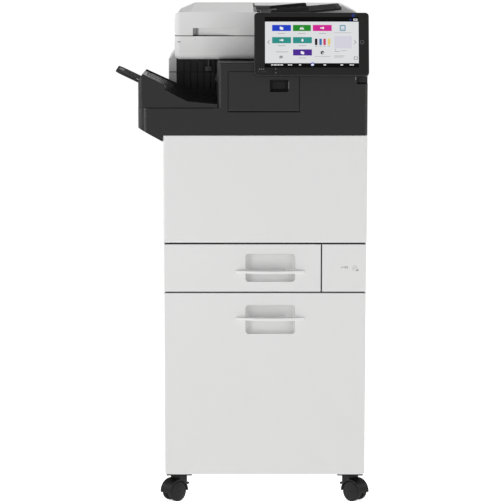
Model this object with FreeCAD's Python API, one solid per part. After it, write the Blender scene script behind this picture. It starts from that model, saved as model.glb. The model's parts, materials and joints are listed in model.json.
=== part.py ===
import FreeCAD, Part
import os

# Driving dimensions in millimetres. X runs to the right, Y to the back and Z up from the floor.
half_width = 248.0          # fronts of the cabinet, the paper tray and the engine
front = -280.0              # plane of all the fronts
back = 280.0
cabinet_bottom = 74.0
cabinet_top = 535.0
tray_top = 656.0
engine_floor = 659.0        # top of the engine's base plate
cover_top = 922.0
band_bottom = 923.0
band_top = 989.0            # shelf under the output tray
block_top = 1099.0
block_left = -116.0
shelf_left = -310.0
housing_right = 249.0
housing_back = 60.0         # where the front housing meets the rear housing
scanner_bottom = 1101.0
scanner_top = 1158.0
feeder_bottom = 1160.0
feeder_deck = 1196.0        # right-hand half of the feeder, under the document tray
feeder_top = 1219.5
sheet = 2.0                 # sheet-steel walls
wall = 3.0                  # moulded walls
gap = 1.0                   # play between neighbouring covers
seam = 1.5                  # half of each seam that shows between the fronts
pull_depth = 20.0           # depth of the drawer front and the tray front
shaft_play = 0.05           # radial clearance of every pin and shaft

split_x = 138.5             # between the tray front and its fixed side cover
pocket_x = (-48.0, 74.0)    # mouth of both handle pockets
pocket_depth = 18.0
drawer_pocket_z = (431.0, 503.0)
tray_pocket_z = (561.0, 631.0)

cover_hinge = (-272.0, 665.0)       # Y and Z of the front cover's hinge line
staple_hinge = (-275.0, 985.0)      # Y and Z
panel_hinge = (-299.0, 1106.0)      # Y and Z
lid_hinge = (269.0, 1165.0)         # Y and Z
feed_hinge = (-213.0, 1202.0)       # X and Z
document_hinge = (-15.0, 1203.0)    # X and Z
side_door_hinge = (244.0, 697.0)    # X and Z
bypass_hinge = (246.4, 723.4)       # X and Z
lift_hinge = (-40.0, 551.0)         # X and Z

panel_foot = (-335.0, 1072.0)       # Y and Z of the panel's lower front edge
panel_x = (-27.0, 249.0)
panel_height = 155.0
panel_depth = 19.0
panel_tilt = 16.0                   # degrees from upright
flap_slope = 25.5                   # degrees above level, rising to the left
document_slope = 5.2                # degrees above level, rising to the right

caster_stems = {
    "front_left": (-213.0, -232.0, 43.8),
    "front_right": (213.0, -232.0, 136.2),
    "rear_left": (-213.0, 225.0, -50.0),
    "rear_right": (213.0, 225.0, 215.0),
}
wheel_radius = 25.0
wheel_trail = 18.0                  # wheel centre behind the stem
axle_hole = 3.0                     # radius

os.makedirs("parts", exist_ok=True)
vector = FreeCAD.Vector


def save(name, *shapes):
    shape = shapes[0] if len(shapes) == 1 else Part.makeCompound(list(shapes))
    shape.exportStep(f"parts/{name}.step")


def box(x, y, z):
    return Part.makeBox(x[1] - x[0], y[1] - y[0], z[1] - z[0], vector(x[0], y[0], z[0]))


def cylinder(radius, start, end):
    axis = vector(*end) - vector(*start)
    return Part.makeCylinder(radius, axis.Length, vector(*start), axis)


def along_x(radius, centre, low, high):
    return cylinder(radius, (low, *centre), (high, *centre))


def along_y(radius, centre, low, high):
    return cylinder(radius, (centre[0], low, centre[1]), (centre[0], high, centre[1]))


def prism(outline, axis, low, high):
    """An outline of two-number points, drawn out along the axis that it leaves out."""
    length = high - low
    place, along = {
        "x": (lambda a, b: vector(low, a, b), vector(length, 0, 0)),
        "y": (lambda a, b: vector(a, low, b), vector(0, length, 0)),
        "z": (lambda a, b: vector(a, b, low), vector(0, 0, length)),
    }[axis]
    points = [place(a, b) for a, b in outline]
    face = Part.Face(Part.makePolygon(points + points[:1]))
    return face.extrude(along)


def join(first, *others):
    return first.multiFuse(list(others)).removeSplitter()


def cut(shape, *tools):
    return shape.cut(list(tools))


def round_edges(shape, radius, test):
    """Round the edges whose bounding box passes the test."""
    chosen = [edge for edge in shape.Edges if test(edge.BoundBox)]
    return shape.makeFillet(radius, chosen)


def upright(edge):
    return edge.XLength < 0.01 and edge.YLength < 0.01


def front_upright(edge):
    return upright(edge) and edge.YMax < 0


def on_front(edge):
    return edge.YMax < front + 0.01


def lower_depth_edge(edge, z):
    """An edge along Y at the bottom of a shape that starts at z."""
    return edge.YLength > 1 and edge.ZMax < z + 0.01


def both_sides(make, distance):
    return [make(-distance), make(distance)]


# Castors: a swivelling hood with its stem, and two wheels pressed on one axle.

def turn_caster(shape, stem_x, stem_y, angle):
    shape.rotate(vector(0, 0, 0), vector(0, 0, 1), angle)
    shape.translate(vector(stem_x, stem_y, 0))
    return shape


def wheel_disc(radius, y_low, y_high):
    return along_y(radius, (-wheel_trail, wheel_radius), y_low, y_high)


def caster_hood():
    hood_half = 17.5
    web_half = 7.0
    well_radius = 27.0
    fender = wheel_disc(31.0, -hood_half, hood_half)
    fender = cut(fender, box((-60, 60), (-30, 30), (-10, 24)))
    neck = box((-14, 14), (-hood_half, hood_half), (31, 66))
    neck = round_edges(neck, 8.0, lambda edge: upright(edge) and edge.XMin > 0)
    neck = round_edges(neck, 2.5, lambda edge: edge.ZMin > 65.9)
    brake_pedal = box((13, 25), (-8, 8), (36, 41))
    shell = join(fender, neck, brake_pedal)
    for low, high in ((web_half, hood_half + 1), (-hood_half - 1, -web_half)):
        shell = cut(shell, wheel_disc(well_radius, low, high))
    web = wheel_disc(21.0, -web_half, web_half)
    stem = cylinder(5.5, (0, 0, 60), (0, 0, 73.6))
    hood = join(shell, web, stem)
    return cut(hood, wheel_disc(axle_hole, -web_half - 1, web_half + 1))


def caster_wheels():
    wheels = []
    for low, high in ((-17.0, -7.5), (7.5, 17.0)):
        tyre = wheel_disc(wheel_radius, low, high)
        wheels.append(tyre.makeFillet(2.0, tyre.Edges[0:1] + tyre.Edges[2:3]))
    return join(wheel_disc(axle_hole - shaft_play, -16, 16), *wheels)


def make_casters():
    plates = []
    for name, (stem_x, stem_y, angle) in caster_stems.items():
        save(f"caster_hood_{name}", turn_caster(caster_hood(), stem_x, stem_y, angle))
        save(f"caster_wheels_{name}", turn_caster(caster_wheels(), stem_x, stem_y, angle))
        plate = box((stem_x - 32, stem_x + 32), (stem_y - 32, stem_y + 32), (68, cabinet_bottom))
        plates.append(cut(plate, cylinder(5.6, (stem_x, stem_y, 60), (stem_x, stem_y, 80))))
    save("caster_brackets", *plates)


# Fronts with a handle pocket, shared by the storage drawer and the paper tray.

def pocket_solid(z, grow, y_front):
    """The handle pocket's hollow, or with some growth the cup around it."""
    floor = front + pocket_depth + grow
    solid = box((pocket_x[0] - grow, pocket_x[1] + grow), (y_front, floor), (z[0] - grow, z[1] + grow))
    solid = round_edges(solid, 8.0 + grow, lambda edge: edge.YLength > 1)
    return round_edges(solid, 6.0 + grow, lambda edge: edge.YMin > floor - 0.01)


def pull_front(x, z, pocket_z, low_corner):
    rear = front + pull_depth
    pan = box(x, (front, rear), z)
    pan = round_edges(pan, low_corner, lambda edge: lower_depth_edge(edge, z[0]))
    pan = round_edges(pan, 2.0, on_front)
    inner_z = (z[0] + wall, z[1] - wall)
    hollow = box((x[0] + wall, x[1] - wall), (front + wall, rear + 1), inner_z)
    hollow = round_edges(hollow, low_corner, lambda edge: lower_depth_edge(edge, inner_z[0]))
    pan = cut(pan, hollow)
    cup = pocket_solid(pocket_z, 2.0, front + 1)
    return cut(join(pan, cup), pocket_solid(pocket_z, 0.0, front - 1))


def handle_blade(z_low):
    thickness = 7.0
    reach = 16.0
    tip = 2.0
    left = vector(-72, front - tip, z_low)
    middle = vector(12, front - reach, z_low)
    right = vector(97, front - tip, z_low)
    floor = front + pocket_depth
    corners = [(97, front), (50, front), (50, floor), (-34, floor), (-34, front), (-72, front)]
    points = [right] + [vector(x, y, z_low) for x, y in corners] + [left]
    edges = [Part.Arc(left, middle, right).toShape()]
    for start, end in zip(points, points[1:]):
        edges.append(Part.LineSegment(start, end).toShape())
    blade = Part.Face(Part.Wire(edges)).extrude(vector(0, 0, thickness))
    return round_edges(blade, 1.5, lambda edge: edge.YMin < front - reach + 0.5 and edge.ZLength < 0.01)


def make_cabinet():
    shell_half = 247.5
    shell = box((-shell_half, shell_half), (-257, 279), (cabinet_bottom, cabinet_top))
    shell = round_edges(shell, 6.0, lambda edge: lower_depth_edge(edge, cabinet_bottom))
    room_half = shell_half - sheet
    floor = cabinet_bottom + sheet
    room = box((-room_half, room_half), (-258, 279 - sheet), (floor, cabinet_top - sheet))
    room = round_edges(room, 4.0, lambda edge: lower_depth_edge(edge, floor))
    bolt_holes = [
        cylinder(2.6, (x, y, cabinet_bottom - 1), (x, y, cabinet_bottom + 4))
        for x in (-160, 160)
        for y in (-60, 60)
    ]
    save("cabinet_shell", cut(shell, room, *bolt_holes))

    rails = []
    for side in (-1, 1):
        channel = box((236, room_half), (-250, 250), (234, 268))
        channel = cut(channel, box((235, 243.5), (-251, 251), (237, 265)))
        rails.append(channel if side > 0 else channel.mirror(vector(0, 0, 0), vector(1, 0, 0)))
    save("cabinet_rails", *rails)

    front_z = (cabinet_bottom + gap, cabinet_top - seam)
    save("drawer_front", pull_front((-half_width, half_width), front_z, drawer_pocket_z, 6.0))
    save("drawer_handle", handle_blade(466.0))

    face = box((-247, 247), (front + pull_depth, -258), (82, 533))
    outside = box((-235, 235), (-258, 250), (90, 430))
    inside = box((-233, 233), (-256, 248), (92, 431))
    runners = both_sides(lambda x: box((x - 3.5, x + 3.5), (-250, 240), (240, 262)), 238.5)
    save("drawer_bin", join(face, cut(outside, inside), *runners))


def make_paper_tray():
    housing = box((-247.5, 247.5), (-257, 279), (cabinet_top, tray_top))
    tray_room = box((-245, 137.5), (-258, 276.5), (cabinet_top + wall, tray_top + 1))
    side_room = box((139.5, 245), (-258, 276.5), (cabinet_top + wall, tray_top + 1))
    save("tray_housing", cut(housing, tray_room, side_room))

    front_z = (cabinet_top + seam, tray_top - seam)
    side_cover = box((split_x + 1.5, half_width), (front, -257), front_z)
    side_cover = round_edges(side_cover, 2.0, on_front)
    inner_z = (front_z[0] + wall, front_z[1] - wall)
    hollow = box((split_x + 1.5 + wall, half_width - wall), (front + wall, -256), inner_z)
    save("tray_side_cover", cut(side_cover, hollow))

    save("tray_front", pull_front((-half_width, split_x - 1.5), front_z, tray_pocket_z, 2.5))
    save("tray_handle", handle_blade(583.0))

    face = box((-247, 136), (front + pull_depth, -258), (540, 653))
    outside = box((-240, 132), (-258, 90), (545, 630))
    inside = box((-237.5, 129.5), (-255.5, 87.5), (547.5, 631))
    lugs = []
    hinge_x, hinge_z = lift_hinge
    for low, high in ((-193, -186), (6, 13)):
        lug = box((hinge_x - 5, hinge_x + 5), (low, high), (547.5, 556))
        bore = along_y(1.5 + shaft_play, (hinge_x, hinge_z), low - 1, high + 1)
        lugs.append(cut(lug, bore))
    save("tray_tub", join(face, cut(outside, inside), *lugs))

    plate = box((hinge_x, 124), (-185, 5), (550.2, 551.8))
    pin = along_y(1.5, (hinge_x, hinge_z), -192, 12)
    friction_pad = box((60, 110), (-110, -70), (551.8, 553))
    save("lift_plate", join(plate, pin, friction_pad))

    fence = box((-170, -60), (-199, -196), (549, 622))
    foot = box((-130, -100), (-199, -165), (548, 550))
    front_guide = round_edges(join(fence, foot), 6.0, lambda edge: edge.YLength > 2 and edge.ZMin > 621)
    save("side_guide_front", front_guide)
    middle_y = -90.0
    save("side_guide_rear", front_guide.mirror(vector(0, middle_y, 0), vector(0, 1, 0)))
    end_fence = box((-180, -177), (-115, -65), (549, 622))
    end_foot = box((-205, -180), (-105, -75), (548, 551))
    save("end_guide", join(end_fence, end_foot))

    roller_x = 105.0
    roller_z = 645.0
    roller = along_y(10.0, (roller_x, roller_z), -160, -10)
    shaft = along_y(3.0, (roller_x, roller_z), -178, 8)
    save("feed_roller", join(roller, shaft))


# Engine: frame plates, covers, toner, imaging and the electrics.

toner_x = (-165.0, -85.0, -5.0, 75.0)
toner_z = 880.0
fan_centre = (-110.0, 850.0)
inlet_x = (-205.0, -165.0)
inlet_z = (675.0, 709.0)
jack_window = ((20.0, 140.0), (715.0, 745.0))


def cover_ears():
    hinge_y, hinge_z = cover_hinge
    ears = []
    for low, high in ((-230, -225), (225, 230)):
        arm = box((low, high), (hinge_y, -250), (hinge_z - 4, hinge_z + 4))
        eye = along_x(4.5, (hinge_y, hinge_z), low, high)
        bore = along_x(2.0 + shaft_play, (hinge_y, hinge_z), low - 1, high + 1)
        ears.append(cut(join(arm, eye), bore))
    return ears


def fan_mount():
    x, z = fan_centre
    ring = along_y(44.0, (x, z), 234, 262)
    ring = cut(ring, along_y(40.0, (x, z), 233, 263))
    spokes = [
        box((x - 41, x + 41), (259, 262), (z - 2, z + 2)),
        box((x - 2, x + 2), (259, 262), (z - 41, z + 41)),
    ]
    boss = along_y(12.0, (x, z), 258, 262)
    shaft = along_y(3.0, (x, z), 240, 262)
    return join(ring, boss, shaft, *spokes)


def roller_hangers():
    hangers = []
    for low, high in ((-178, -172), (2, 8)):
        plate = box((97, 113), (low, high), (638, tray_top))
        hangers.append(cut(plate, along_y(3.0 + shaft_play, (105, 645), low - 1, high + 1)))
    return hangers


def make_frame():
    base = box((-246.5, 246.5), (-250, 265), (tray_top, engine_floor))
    front_plate = box((-240, 240), (-250, -247), (engine_floor, band_bottom))
    toner_holes = [along_y(28.5, (x, toner_z), -251, -246) for x in toner_x]
    waste_hole = box((150, 220), (-251, -246), (700, 860))
    front_plate = cut(front_plate, waste_hole, *toner_holes)
    middle_plate = box((-240, 150), (60, 63), (engine_floor, band_bottom))
    rear_plate = box((-240, 234), (262, 265), (engine_floor, band_bottom))
    x, z = fan_centre
    rear_plate = cut(
        rear_plate,
        along_y(40.0, (x, z), 261, 266),
        box((inlet_x[0] - 1, inlet_x[1] + 1), (261, 266), (inlet_z[0] - 1, inlet_z[1] + 1)),
        box(jack_window[0], (261, 266), jack_window[1]),
    )
    beams = [
        box((-240, -228), (-247, 262), (904, 916)),
        box((222, 234), (-247, 262), (904, 916)),
        box((-240, -228), (-247, 262), (engine_floor, 671)),
    ]
    plates = [base, front_plate, middle_plate, rear_plate]
    save("frame_plates", join(*plates, fan_mount(), *beams, *cover_ears(), *roller_hangers()))


def make_front_cover():
    width = 249.0
    rear = -262.0
    bottom = tray_top + seam
    shell = box((-width, width), (front, rear), (bottom, cover_top))
    shell = round_edges(shell, 5.0, lambda edge: on_front(edge) and edge.ZMin < cover_top - 1)
    shell = round_edges(shell, 1.5, lambda edge: on_front(edge) and edge.ZMin > cover_top - 1)
    inner = box((-width + wall, width - wall), (front + wall, rear + 1), (bottom + wall, cover_top - wall))
    shell = cut(shell, inner)
    hinge_y, hinge_z = cover_hinge
    ribs = []
    notches = []
    pins = []
    for side in (-1, 1):
        low, high = sorted((side * 221, side * 234))
        pins.append(along_x(2.0, (hinge_y, hinge_z), low, high))
        notch_z = (bottom - 1, bottom + wall + 0.5)
        notches.append(box((low + 0.5, high - 0.5), (front + wall, rear + 1), notch_z))
        for inner_x in (218, 234):
            low, high = sorted((side * inner_x, side * (inner_x + 3)))
            ribs.append(box((low, high), (front + wall, -266), (bottom + wall, 671)))
    stiffeners = [box((x - 1, x + 1), (front + wall, -268), (700, cover_top - wall)) for x in (-120, 120)]
    save("front_cover", join(cut(shell, *notches), *ribs, *pins, *stiffeners))


def make_side_covers():
    lower_z = (tray_top + gap, cover_top)
    left = box((-249, -246.5), (-258.5, 277.5), lower_z)
    pillar_outline = [(-245, band_bottom), (-225, band_bottom), (-225, scanner_bottom)]
    pillar_outline += [(-230, scanner_bottom), (-245, 1083)]
    pillar = prism(pillar_outline, "y", 62, 277.5)
    pillar = round_edges(pillar, 2.0, lambda edge: edge.YMax < 62.01 and edge.XMax < -225.5)
    groove = cut(
        box((-246, -224), (61, 280), (1049, 1051.2)),
        box((-242.5, -227), (65, 280), (1048, 1052)),
    )
    pillar = cut(pillar, groove)
    right = box((246.5, 249), (-258.5, 277.5), lower_z)
    right = cut(right, box((246, 250), (-186, 206), (689, 916)))
    lugs = []
    hinge_x, hinge_z = side_door_hinge
    for low, high in ((-193, -186.6), (206.6, 213)):
        lug = box((238.5, 246.5), (low, high), (hinge_z - 5, hinge_z + 5))
        bore = along_y(2.0 + shaft_play, (hinge_x, hinge_z), low - 1, high + 1)
        lugs.append(cut(lug, bore))
    save("side_covers", left, pillar, join(right, *lugs))


def make_side_door():
    hinge_x, hinge_z = side_door_hinge
    door = box((240, 249), (-185, 205), (690, 915))
    door = round_edges(door, 4.0, lambda edge: edge.YLength > 100 and edge.XMin > 248 and edge.ZMax < 691)
    pocket = box((243.5, 250), (-139.6, 119.6), (719.5, 899.6))
    pins = [
        along_y(2.0, (hinge_x, hinge_z), -192, -184),
        along_y(2.0, (hinge_x, hinge_z), 204, 212),
    ]
    axis_x, axis_z = bypass_hinge
    sockets = along_y(1.2 + shaft_play, (axis_x, axis_z), -143, 123)
    finger_notch = along_x(14.0, (-10, 902), 249, 245)
    save("right_door", cut(join(door, *pins), pocket, sockets, finger_notch))

    tray = box((244, 248.8), (-139, 119), (axis_z, 899))
    round_foot = along_y(2.4, (axis_x, axis_z), -139, 119)
    pin = along_y(1.2, (axis_x, axis_z), -142.5, 122.5)
    save("bypass_tray", join(tray, round_foot, pin))


def make_imaging():
    deep = (-247.0, 60.0)
    toners = []
    for x in toner_x:
        toner = along_y(27.0, (x, toner_z), -257, deep[1])
        tab = box((x - 5, x + 5), (-261, -257), (toner_z - 20, toner_z + 20))
        toners.append(join(toner, tab))
    save("toner_cartridges", *toners)

    units = []
    for x in toner_x:
        case = box((x - 30, x + 30), deep, (742, 784))
        case = round_edges(case, 8.0, lambda edge: edge.YLength > 100)
        drum = along_y(15.0, (x + 8, 783), deep[0], deep[1])
        units.append(join(case, drum))
    save("imaging_units", *units)

    belt_low, belt_high = 803.0, 840.0
    belt = box((-200, 110), deep, (belt_low, belt_high))
    save("transfer_unit", round_edges(belt, 18.0, lambda edge: edge.YLength > 100))

    laser = box((-210, 120), deep, (engine_floor, 735))
    laser = round_edges(laser, 6.0, lambda edge: edge.YLength > 100 and edge.ZMin > 734)
    windows = [box((x - 4, x + 4), (deep[0] + 20, deep[1] - 20), (730, 736)) for x in toner_x]
    save("laser_unit", cut(laser, *windows))

    axis_x, axis_z = 214.0, 980.0
    plates = []
    for low, high in ((-240, -236), (36, 40)):
        plate = box((192, 238), (low, high), (band_bottom + wall, 1010))
        bore = along_y(4.0 + shaft_play, (axis_x, axis_z), low - 1, high + 1)
        plates.append(cut(plate, bore))
    rail = box((192, 195), (-236, 36), (940, 1010))
    save("fuser_frame", join(plates[0], plates[1], rail))
    roller = along_y(15.0, (axis_x, axis_z), -228, 28)
    shaft = along_y(4.0, (axis_x, axis_z), -240, 40)
    save("fuser_roller", join(roller, shaft))


def make_electrics():
    supply = box((-226, -60), (150, 262), (engine_floor, 760))
    slots = [box((x, x + 5), (170, 240), (757, 761)) for x in range(-210, -80, 14)]
    inlet = box(inlet_x, (262, 279.5), inlet_z)
    inlet = cut(inlet, box((inlet_x[0] + 6, inlet_x[1] - 6), (266, 280), (inlet_z[0] + 6, inlet_z[1] - 6)))
    middle_x = sum(inlet_x) / 2
    blades = [box((middle_x + x - 1, middle_x + x + 1), (265, 276), (688, 696)) for x in (-7, 0, 7)]
    save("power_supply", join(cut(supply, *slots), inlet, *blades))

    board = box((-30, 225), (253, 255), (700, 900))
    posts = [along_y(3.0, (x, z), 255, 262) for x in (-20, 215) for z in (710, 890)]
    chips = [box((x, x + 34), (248, 253), (z, z + 34)) for x, z in ((40, 800), (110, 840), (160, 760))]
    jacks = []
    for x in (28, 66, 104):
        jack = box((x, x + 20), (255, 279.5), (722, 738))
        jacks.append(cut(jack, box((x + 2, x + 18), (268, 280), (724, 736))))
    save("controller_board", join(board, *posts, *chips, *jacks))

    x, z = fan_centre
    hub = along_y(14.0, (x, z), 240, 256)
    blade = box((x + 12, x + 37.5), (242, 254), (z - 1, z + 1))
    blade.rotate(vector(x, 248, z), vector(1, 0, 0), 35)
    blades = []
    for index in range(7):
        turned = blade.copy()
        turned.rotate(vector(x, 248, z), vector(0, 1, 0), index * 360 / 7)
        blades.append(turned)
    rotor = join(hub, *blades)
    save("fan_rotor", cut(rotor, along_y(3.0 + shaft_play, (x, z), 239, 257)))


def make_rear_cover():
    top = scanner_bottom - gap
    skin = back - 0.8
    plate = box((-249, 249), (277.5, skin), (tray_top + gap, top))
    corner = [(-250, 1083), (-245, 1083), (-230, scanner_bottom), (-230, top + 1), (-250, top + 1)]
    plate = cut(plate, box((-250, -245), (277, 281), (band_bottom, top + 1)), prism(corner, "y", 277, 281))
    raised = [
        box((-12, 236), (skin - 1, back), (760, 905)),
        box((-150, 212), (skin - 1, back), (935, 1050)),
        box((-236, -20), (skin - 1, back), (736, 905)),
    ]
    raised = [round_edges(panel, 6.0, lambda edge: edge.YLength > 1) for panel in raised]
    plate = join(plate, *raised)
    x, z = fan_centre
    vents = [box((x - 38, x + 38), (277, 281), (z + step, z + step + 4)) for step in range(-36, 36, 8)]
    upper_vents = [box((-100, 150), (277, 281), (z, z + 4)) for z in range(960, 1010, 10)]
    inlet_hole = box((inlet_x[0] - 1, inlet_x[1] + 1), (277, 281), (inlet_z[0] - 1, inlet_z[1] + 1))
    jack_hole = box(jack_window[0], (277, 281), jack_window[1])
    save("rear_cover", cut(plate, inlet_hole, jack_hole, *vents, *upper_vents))


# Dark upper housing with the output tray, the staple door and the power key.

def housing_outline(inset):
    left = shelf_left + inset
    right = housing_right - inset
    return [
        (left, band_top - inset), (left, 940 + 0.6 * inset), (-250 - inset, 907 + 1.4 * inset),
        (-250 - inset, band_bottom + inset), (right, band_bottom + inset), (right, block_top - inset),
        (block_left + inset, block_top - inset), (block_left + inset, band_top - inset),
    ]


def housing_solid(inset, y_front, y_back):
    solid = prism(housing_outline(inset), "y", y_front, y_back)
    solid = round_edges(solid, 26.0 - inset, lambda edge: front_upright(edge) and edge.XMax < -300)
    solid = round_edges(solid, 8.5 - inset, lambda edge: front_upright(edge) and edge.XMin > 200)
    at_block = block_left + inset
    return round_edges(
        solid, 10.0 - inset,
        lambda edge: front_upright(edge) and abs(edge.XMin - at_block) < 0.1 and edge.ZMin > 980,
    )


def soften_top(shell):
    """Take the sharpness off the block's top rim and the shelf's front edge."""
    shell = round_edges(shell, 2.0, lambda edge: edge.ZMin > block_top - 0.01 and edge.YMax < housing_back)
    bevel = 1.4
    low, high = band_top - bevel - 1, band_top + 1
    corner = [(front - 1, low), (front - 1, high), (front + bevel + 1, high)]
    return cut(shell, prism(corner, "x", shelf_left + 26, block_left - 10))


def make_upper_housing():
    shell = soften_top(housing_solid(0.0, front, housing_back))
    shell = cut(shell, housing_solid(wall, front + wall, housing_back + 1))
    door_opening = box((-90.8, 83.8), (front - 1, front + wall + 1), (978.8, 1078.2))
    exit_slot = box((-117, -112), (-200, 20), (1040, 1060))
    notch_walls = box((219, 247.5), (front + wall, -255), (1044, 1069))
    notch = box((222, 250), (front - 1, -258), (1047, 1066))
    stem_bore = along_y(2.5 + shaft_play, (236, 1056.5), -259, -254)
    hinge_y, hinge_z = staple_hinge
    bosses = []
    for low, high in ((-96, -91.2), (84.2, 89)):
        boss = box((low, high), (front + wall, -270), (hinge_z - 5, hinge_z + 5))
        bore = along_x(2.0 + shaft_play, (hinge_y, hinge_z), low - 1, high + 1)
        bosses.append(cut(boss, bore))
    shell = cut(join(shell, notch_walls, *bosses), door_opening, exit_slot, notch, stem_bore)
    save("upper_housing", shell)

    key = box((228, 244), (-266, -260.5), (1050, 1063))
    key = round_edges(key, 2.0, lambda edge: edge.YLength > 1)
    stem = along_y(2.5, (236, 1056.5), -260.5, -250)
    save("power_key", join(key, stem))


def make_staple_door():
    hinge_y, hinge_z = staple_hinge
    door = box((-89.5, 82.5), (front, front + 10), (980, 1077))
    door = round_edges(door, 4.0, lambda edge: on_front(edge) and edge.ZMax < 981)
    cup = box((9, 58), (front + 2, front + 18), (1026, 1060))
    recess = box((11, 56), (front - 1, front + 16), (1028, 1058))
    recess = round_edges(recess, 3.0, lambda edge: edge.YLength > 1)
    pins = [
        along_x(2.0, (hinge_y, hinge_z), -94, -88),
        along_x(2.0, (hinge_y, hinge_z), 81, 87),
    ]
    save("staple_door", cut(join(door, cup, *pins), recess))

    head = box((-70, 60), (-250, -150), (1000, 1055))
    head = round_edges(head, 6.0, upright)
    leg = box((-40, 30), (-210, -170), (band_bottom + wall, 1000))
    throat = box((-60, 50), (-251, -200), (1020, 1032))
    save("staple_unit", cut(join(head, leg), throat))


def flap_place(shape):
    """Turn a level flap, drawn leftwards from the origin, into its slot in the output tray."""
    shape.rotate(vector(0, 0, 0), vector(0, 1, 0), flap_slope)
    shape.translate(vector(shelf_left, 0, 1047))
    return shape


def make_output_tray():
    fence = [(-309, 1050), (-301, 1058), (-245.5, 1032.6), (-187.7, 1004.4), (-139, 1000)]
    fence.append((block_left, 998))
    outline = [(-309, band_top)] + fence + [(block_left, band_top)]
    tray_front = front + 2.5
    tray = prism(outline, "y", tray_front, 58)
    raised = [(-309, 1040), (-309, 1052), (-298, 1072), (-246, 1046.5), (-243, 1031), (-243, 1020)]
    plan = box((-309, block_left), (tray_front, 58), (band_top, 1080))
    plan = round_edges(plan, 11.0, lambda edge: front_upright(edge) and edge.XMax < -300)
    tray = join(tray, prism(raised, "y", tray_front, front + 14)).common(plan)
    tray = cut(tray, box((-312, block_left + 1), (front, tray_front + 3), (band_top - 1, band_top + 1.2)))
    deck_drop = 4.0
    deck = [(x, z - deck_drop) for x, z in fence[1:]]
    above = [(-325, 1068)] + deck + [(block_left + 1, deck[-1][1]), (block_left + 1, 1090), (-325, 1090)]
    tray = cut(tray, prism(above, "y", front + 14, 50))
    under = [(-306, band_top - 1), (-306, 1044)] + [(x, z - wall) for x, z in deck[1:-1]]
    under += [(block_left - wall, deck[-1][1] - wall), (block_left - wall, band_top - 1)]
    hollow = prism(under, "y", front + wall + 3, 55)
    hollow = round_edges(hollow, 9.0, lambda edge: front_upright(edge) and edge.XMax < -300)
    tray = cut(tray, hollow)
    slot = flap_place(box((-12, 110), (-236, -94), (-0.8, 7.0)))
    save("output_tray", cut(tray, slot))

    flap = box((-62, 46), (-235, -95), (0, 6))
    flap = round_edges(flap, 18.0, lambda edge: edge.ZLength > 1 and edge.XMax < -60)
    grip = cylinder(7.0, (-30, -165, -1), (-30, -165, 8))
    save("tray_extension", flap_place(cut(flap, grip)))


def make_rear_housing():
    shell = box((-225, housing_right), (housing_back, 277.5), (band_bottom, scanner_bottom))
    inner_z = (band_bottom - 1, scanner_bottom - wall)
    inner = box((-222, housing_right - wall), (housing_back + wall, 278), inner_z)
    save("rear_housing", cut(shell, inner))


# Scanner with its glass, and the feeder lid that hinges at the back.

scanner_x = (-222.0, 242.0)
scanner_front = -200.0


def scanner_solid(inset, top):
    solid = box(
        (scanner_x[0] + inset, scanner_x[1] - inset), (scanner_front + inset, 275 - inset),
        (scanner_bottom + inset, top),
    )
    solid = round_edges(solid, 14.0 - inset, upright)
    return round_edges(solid, 13.0 - inset, lambda edge: edge.ZMax < scanner_bottom + inset + 0.01)


def hinge_eye(x, radius, bore, z_low):
    """A lug with a round eye on the lid's hinge line, standing up from z_low."""
    hinge_y, hinge_z = lid_hinge
    block = box(x, (hinge_y - 4, hinge_y + 4), (z_low, hinge_z))
    eye = along_x(radius, (hinge_y, hinge_z), x[0], x[1])
    return cut(join(block, eye), along_x(bore, (hinge_y, hinge_z), x[0] - 1, x[1] + 1))


def make_scanner():
    tub = scanner_solid(0.0, scanner_top)
    room = scanner_solid(wall, scanner_top - wall)
    rebate = box((-170, 190), (-150, 80), (scanner_top - sheet, scanner_top + 1))
    window = box((-166, 186), (-146, 76), (scanner_top - wall - 1, scanner_top))
    eyes = [hinge_eye(x, 5.0, 3.0 + shaft_play, scanner_top - 1) for x in ((-160, -152), (172, 180))]
    save("scanner_tub", cut(join(cut(tub, room), *eyes), rebate, window))
    save("platen_glass", box((-170, 190), (-150, 80), (scanner_top - sheet, scanner_top)))

    rail_y, rail_z = -35.0, 1122.0
    save("scan_rail", along_x(4.0, (rail_y, rail_z), scanner_x[0] + wall, scanner_x[1] - wall))
    carriage = box((-190, -150), (-140, 70), (1114, 1146))
    lamp_slot = box((-174, -166), (-135, 65), (1140, 1147))
    bore = along_x(4.0 + shaft_play, (rail_y, rail_z), -191, -149)
    save("scan_carriage", cut(carriage, lamp_slot, bore))


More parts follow.
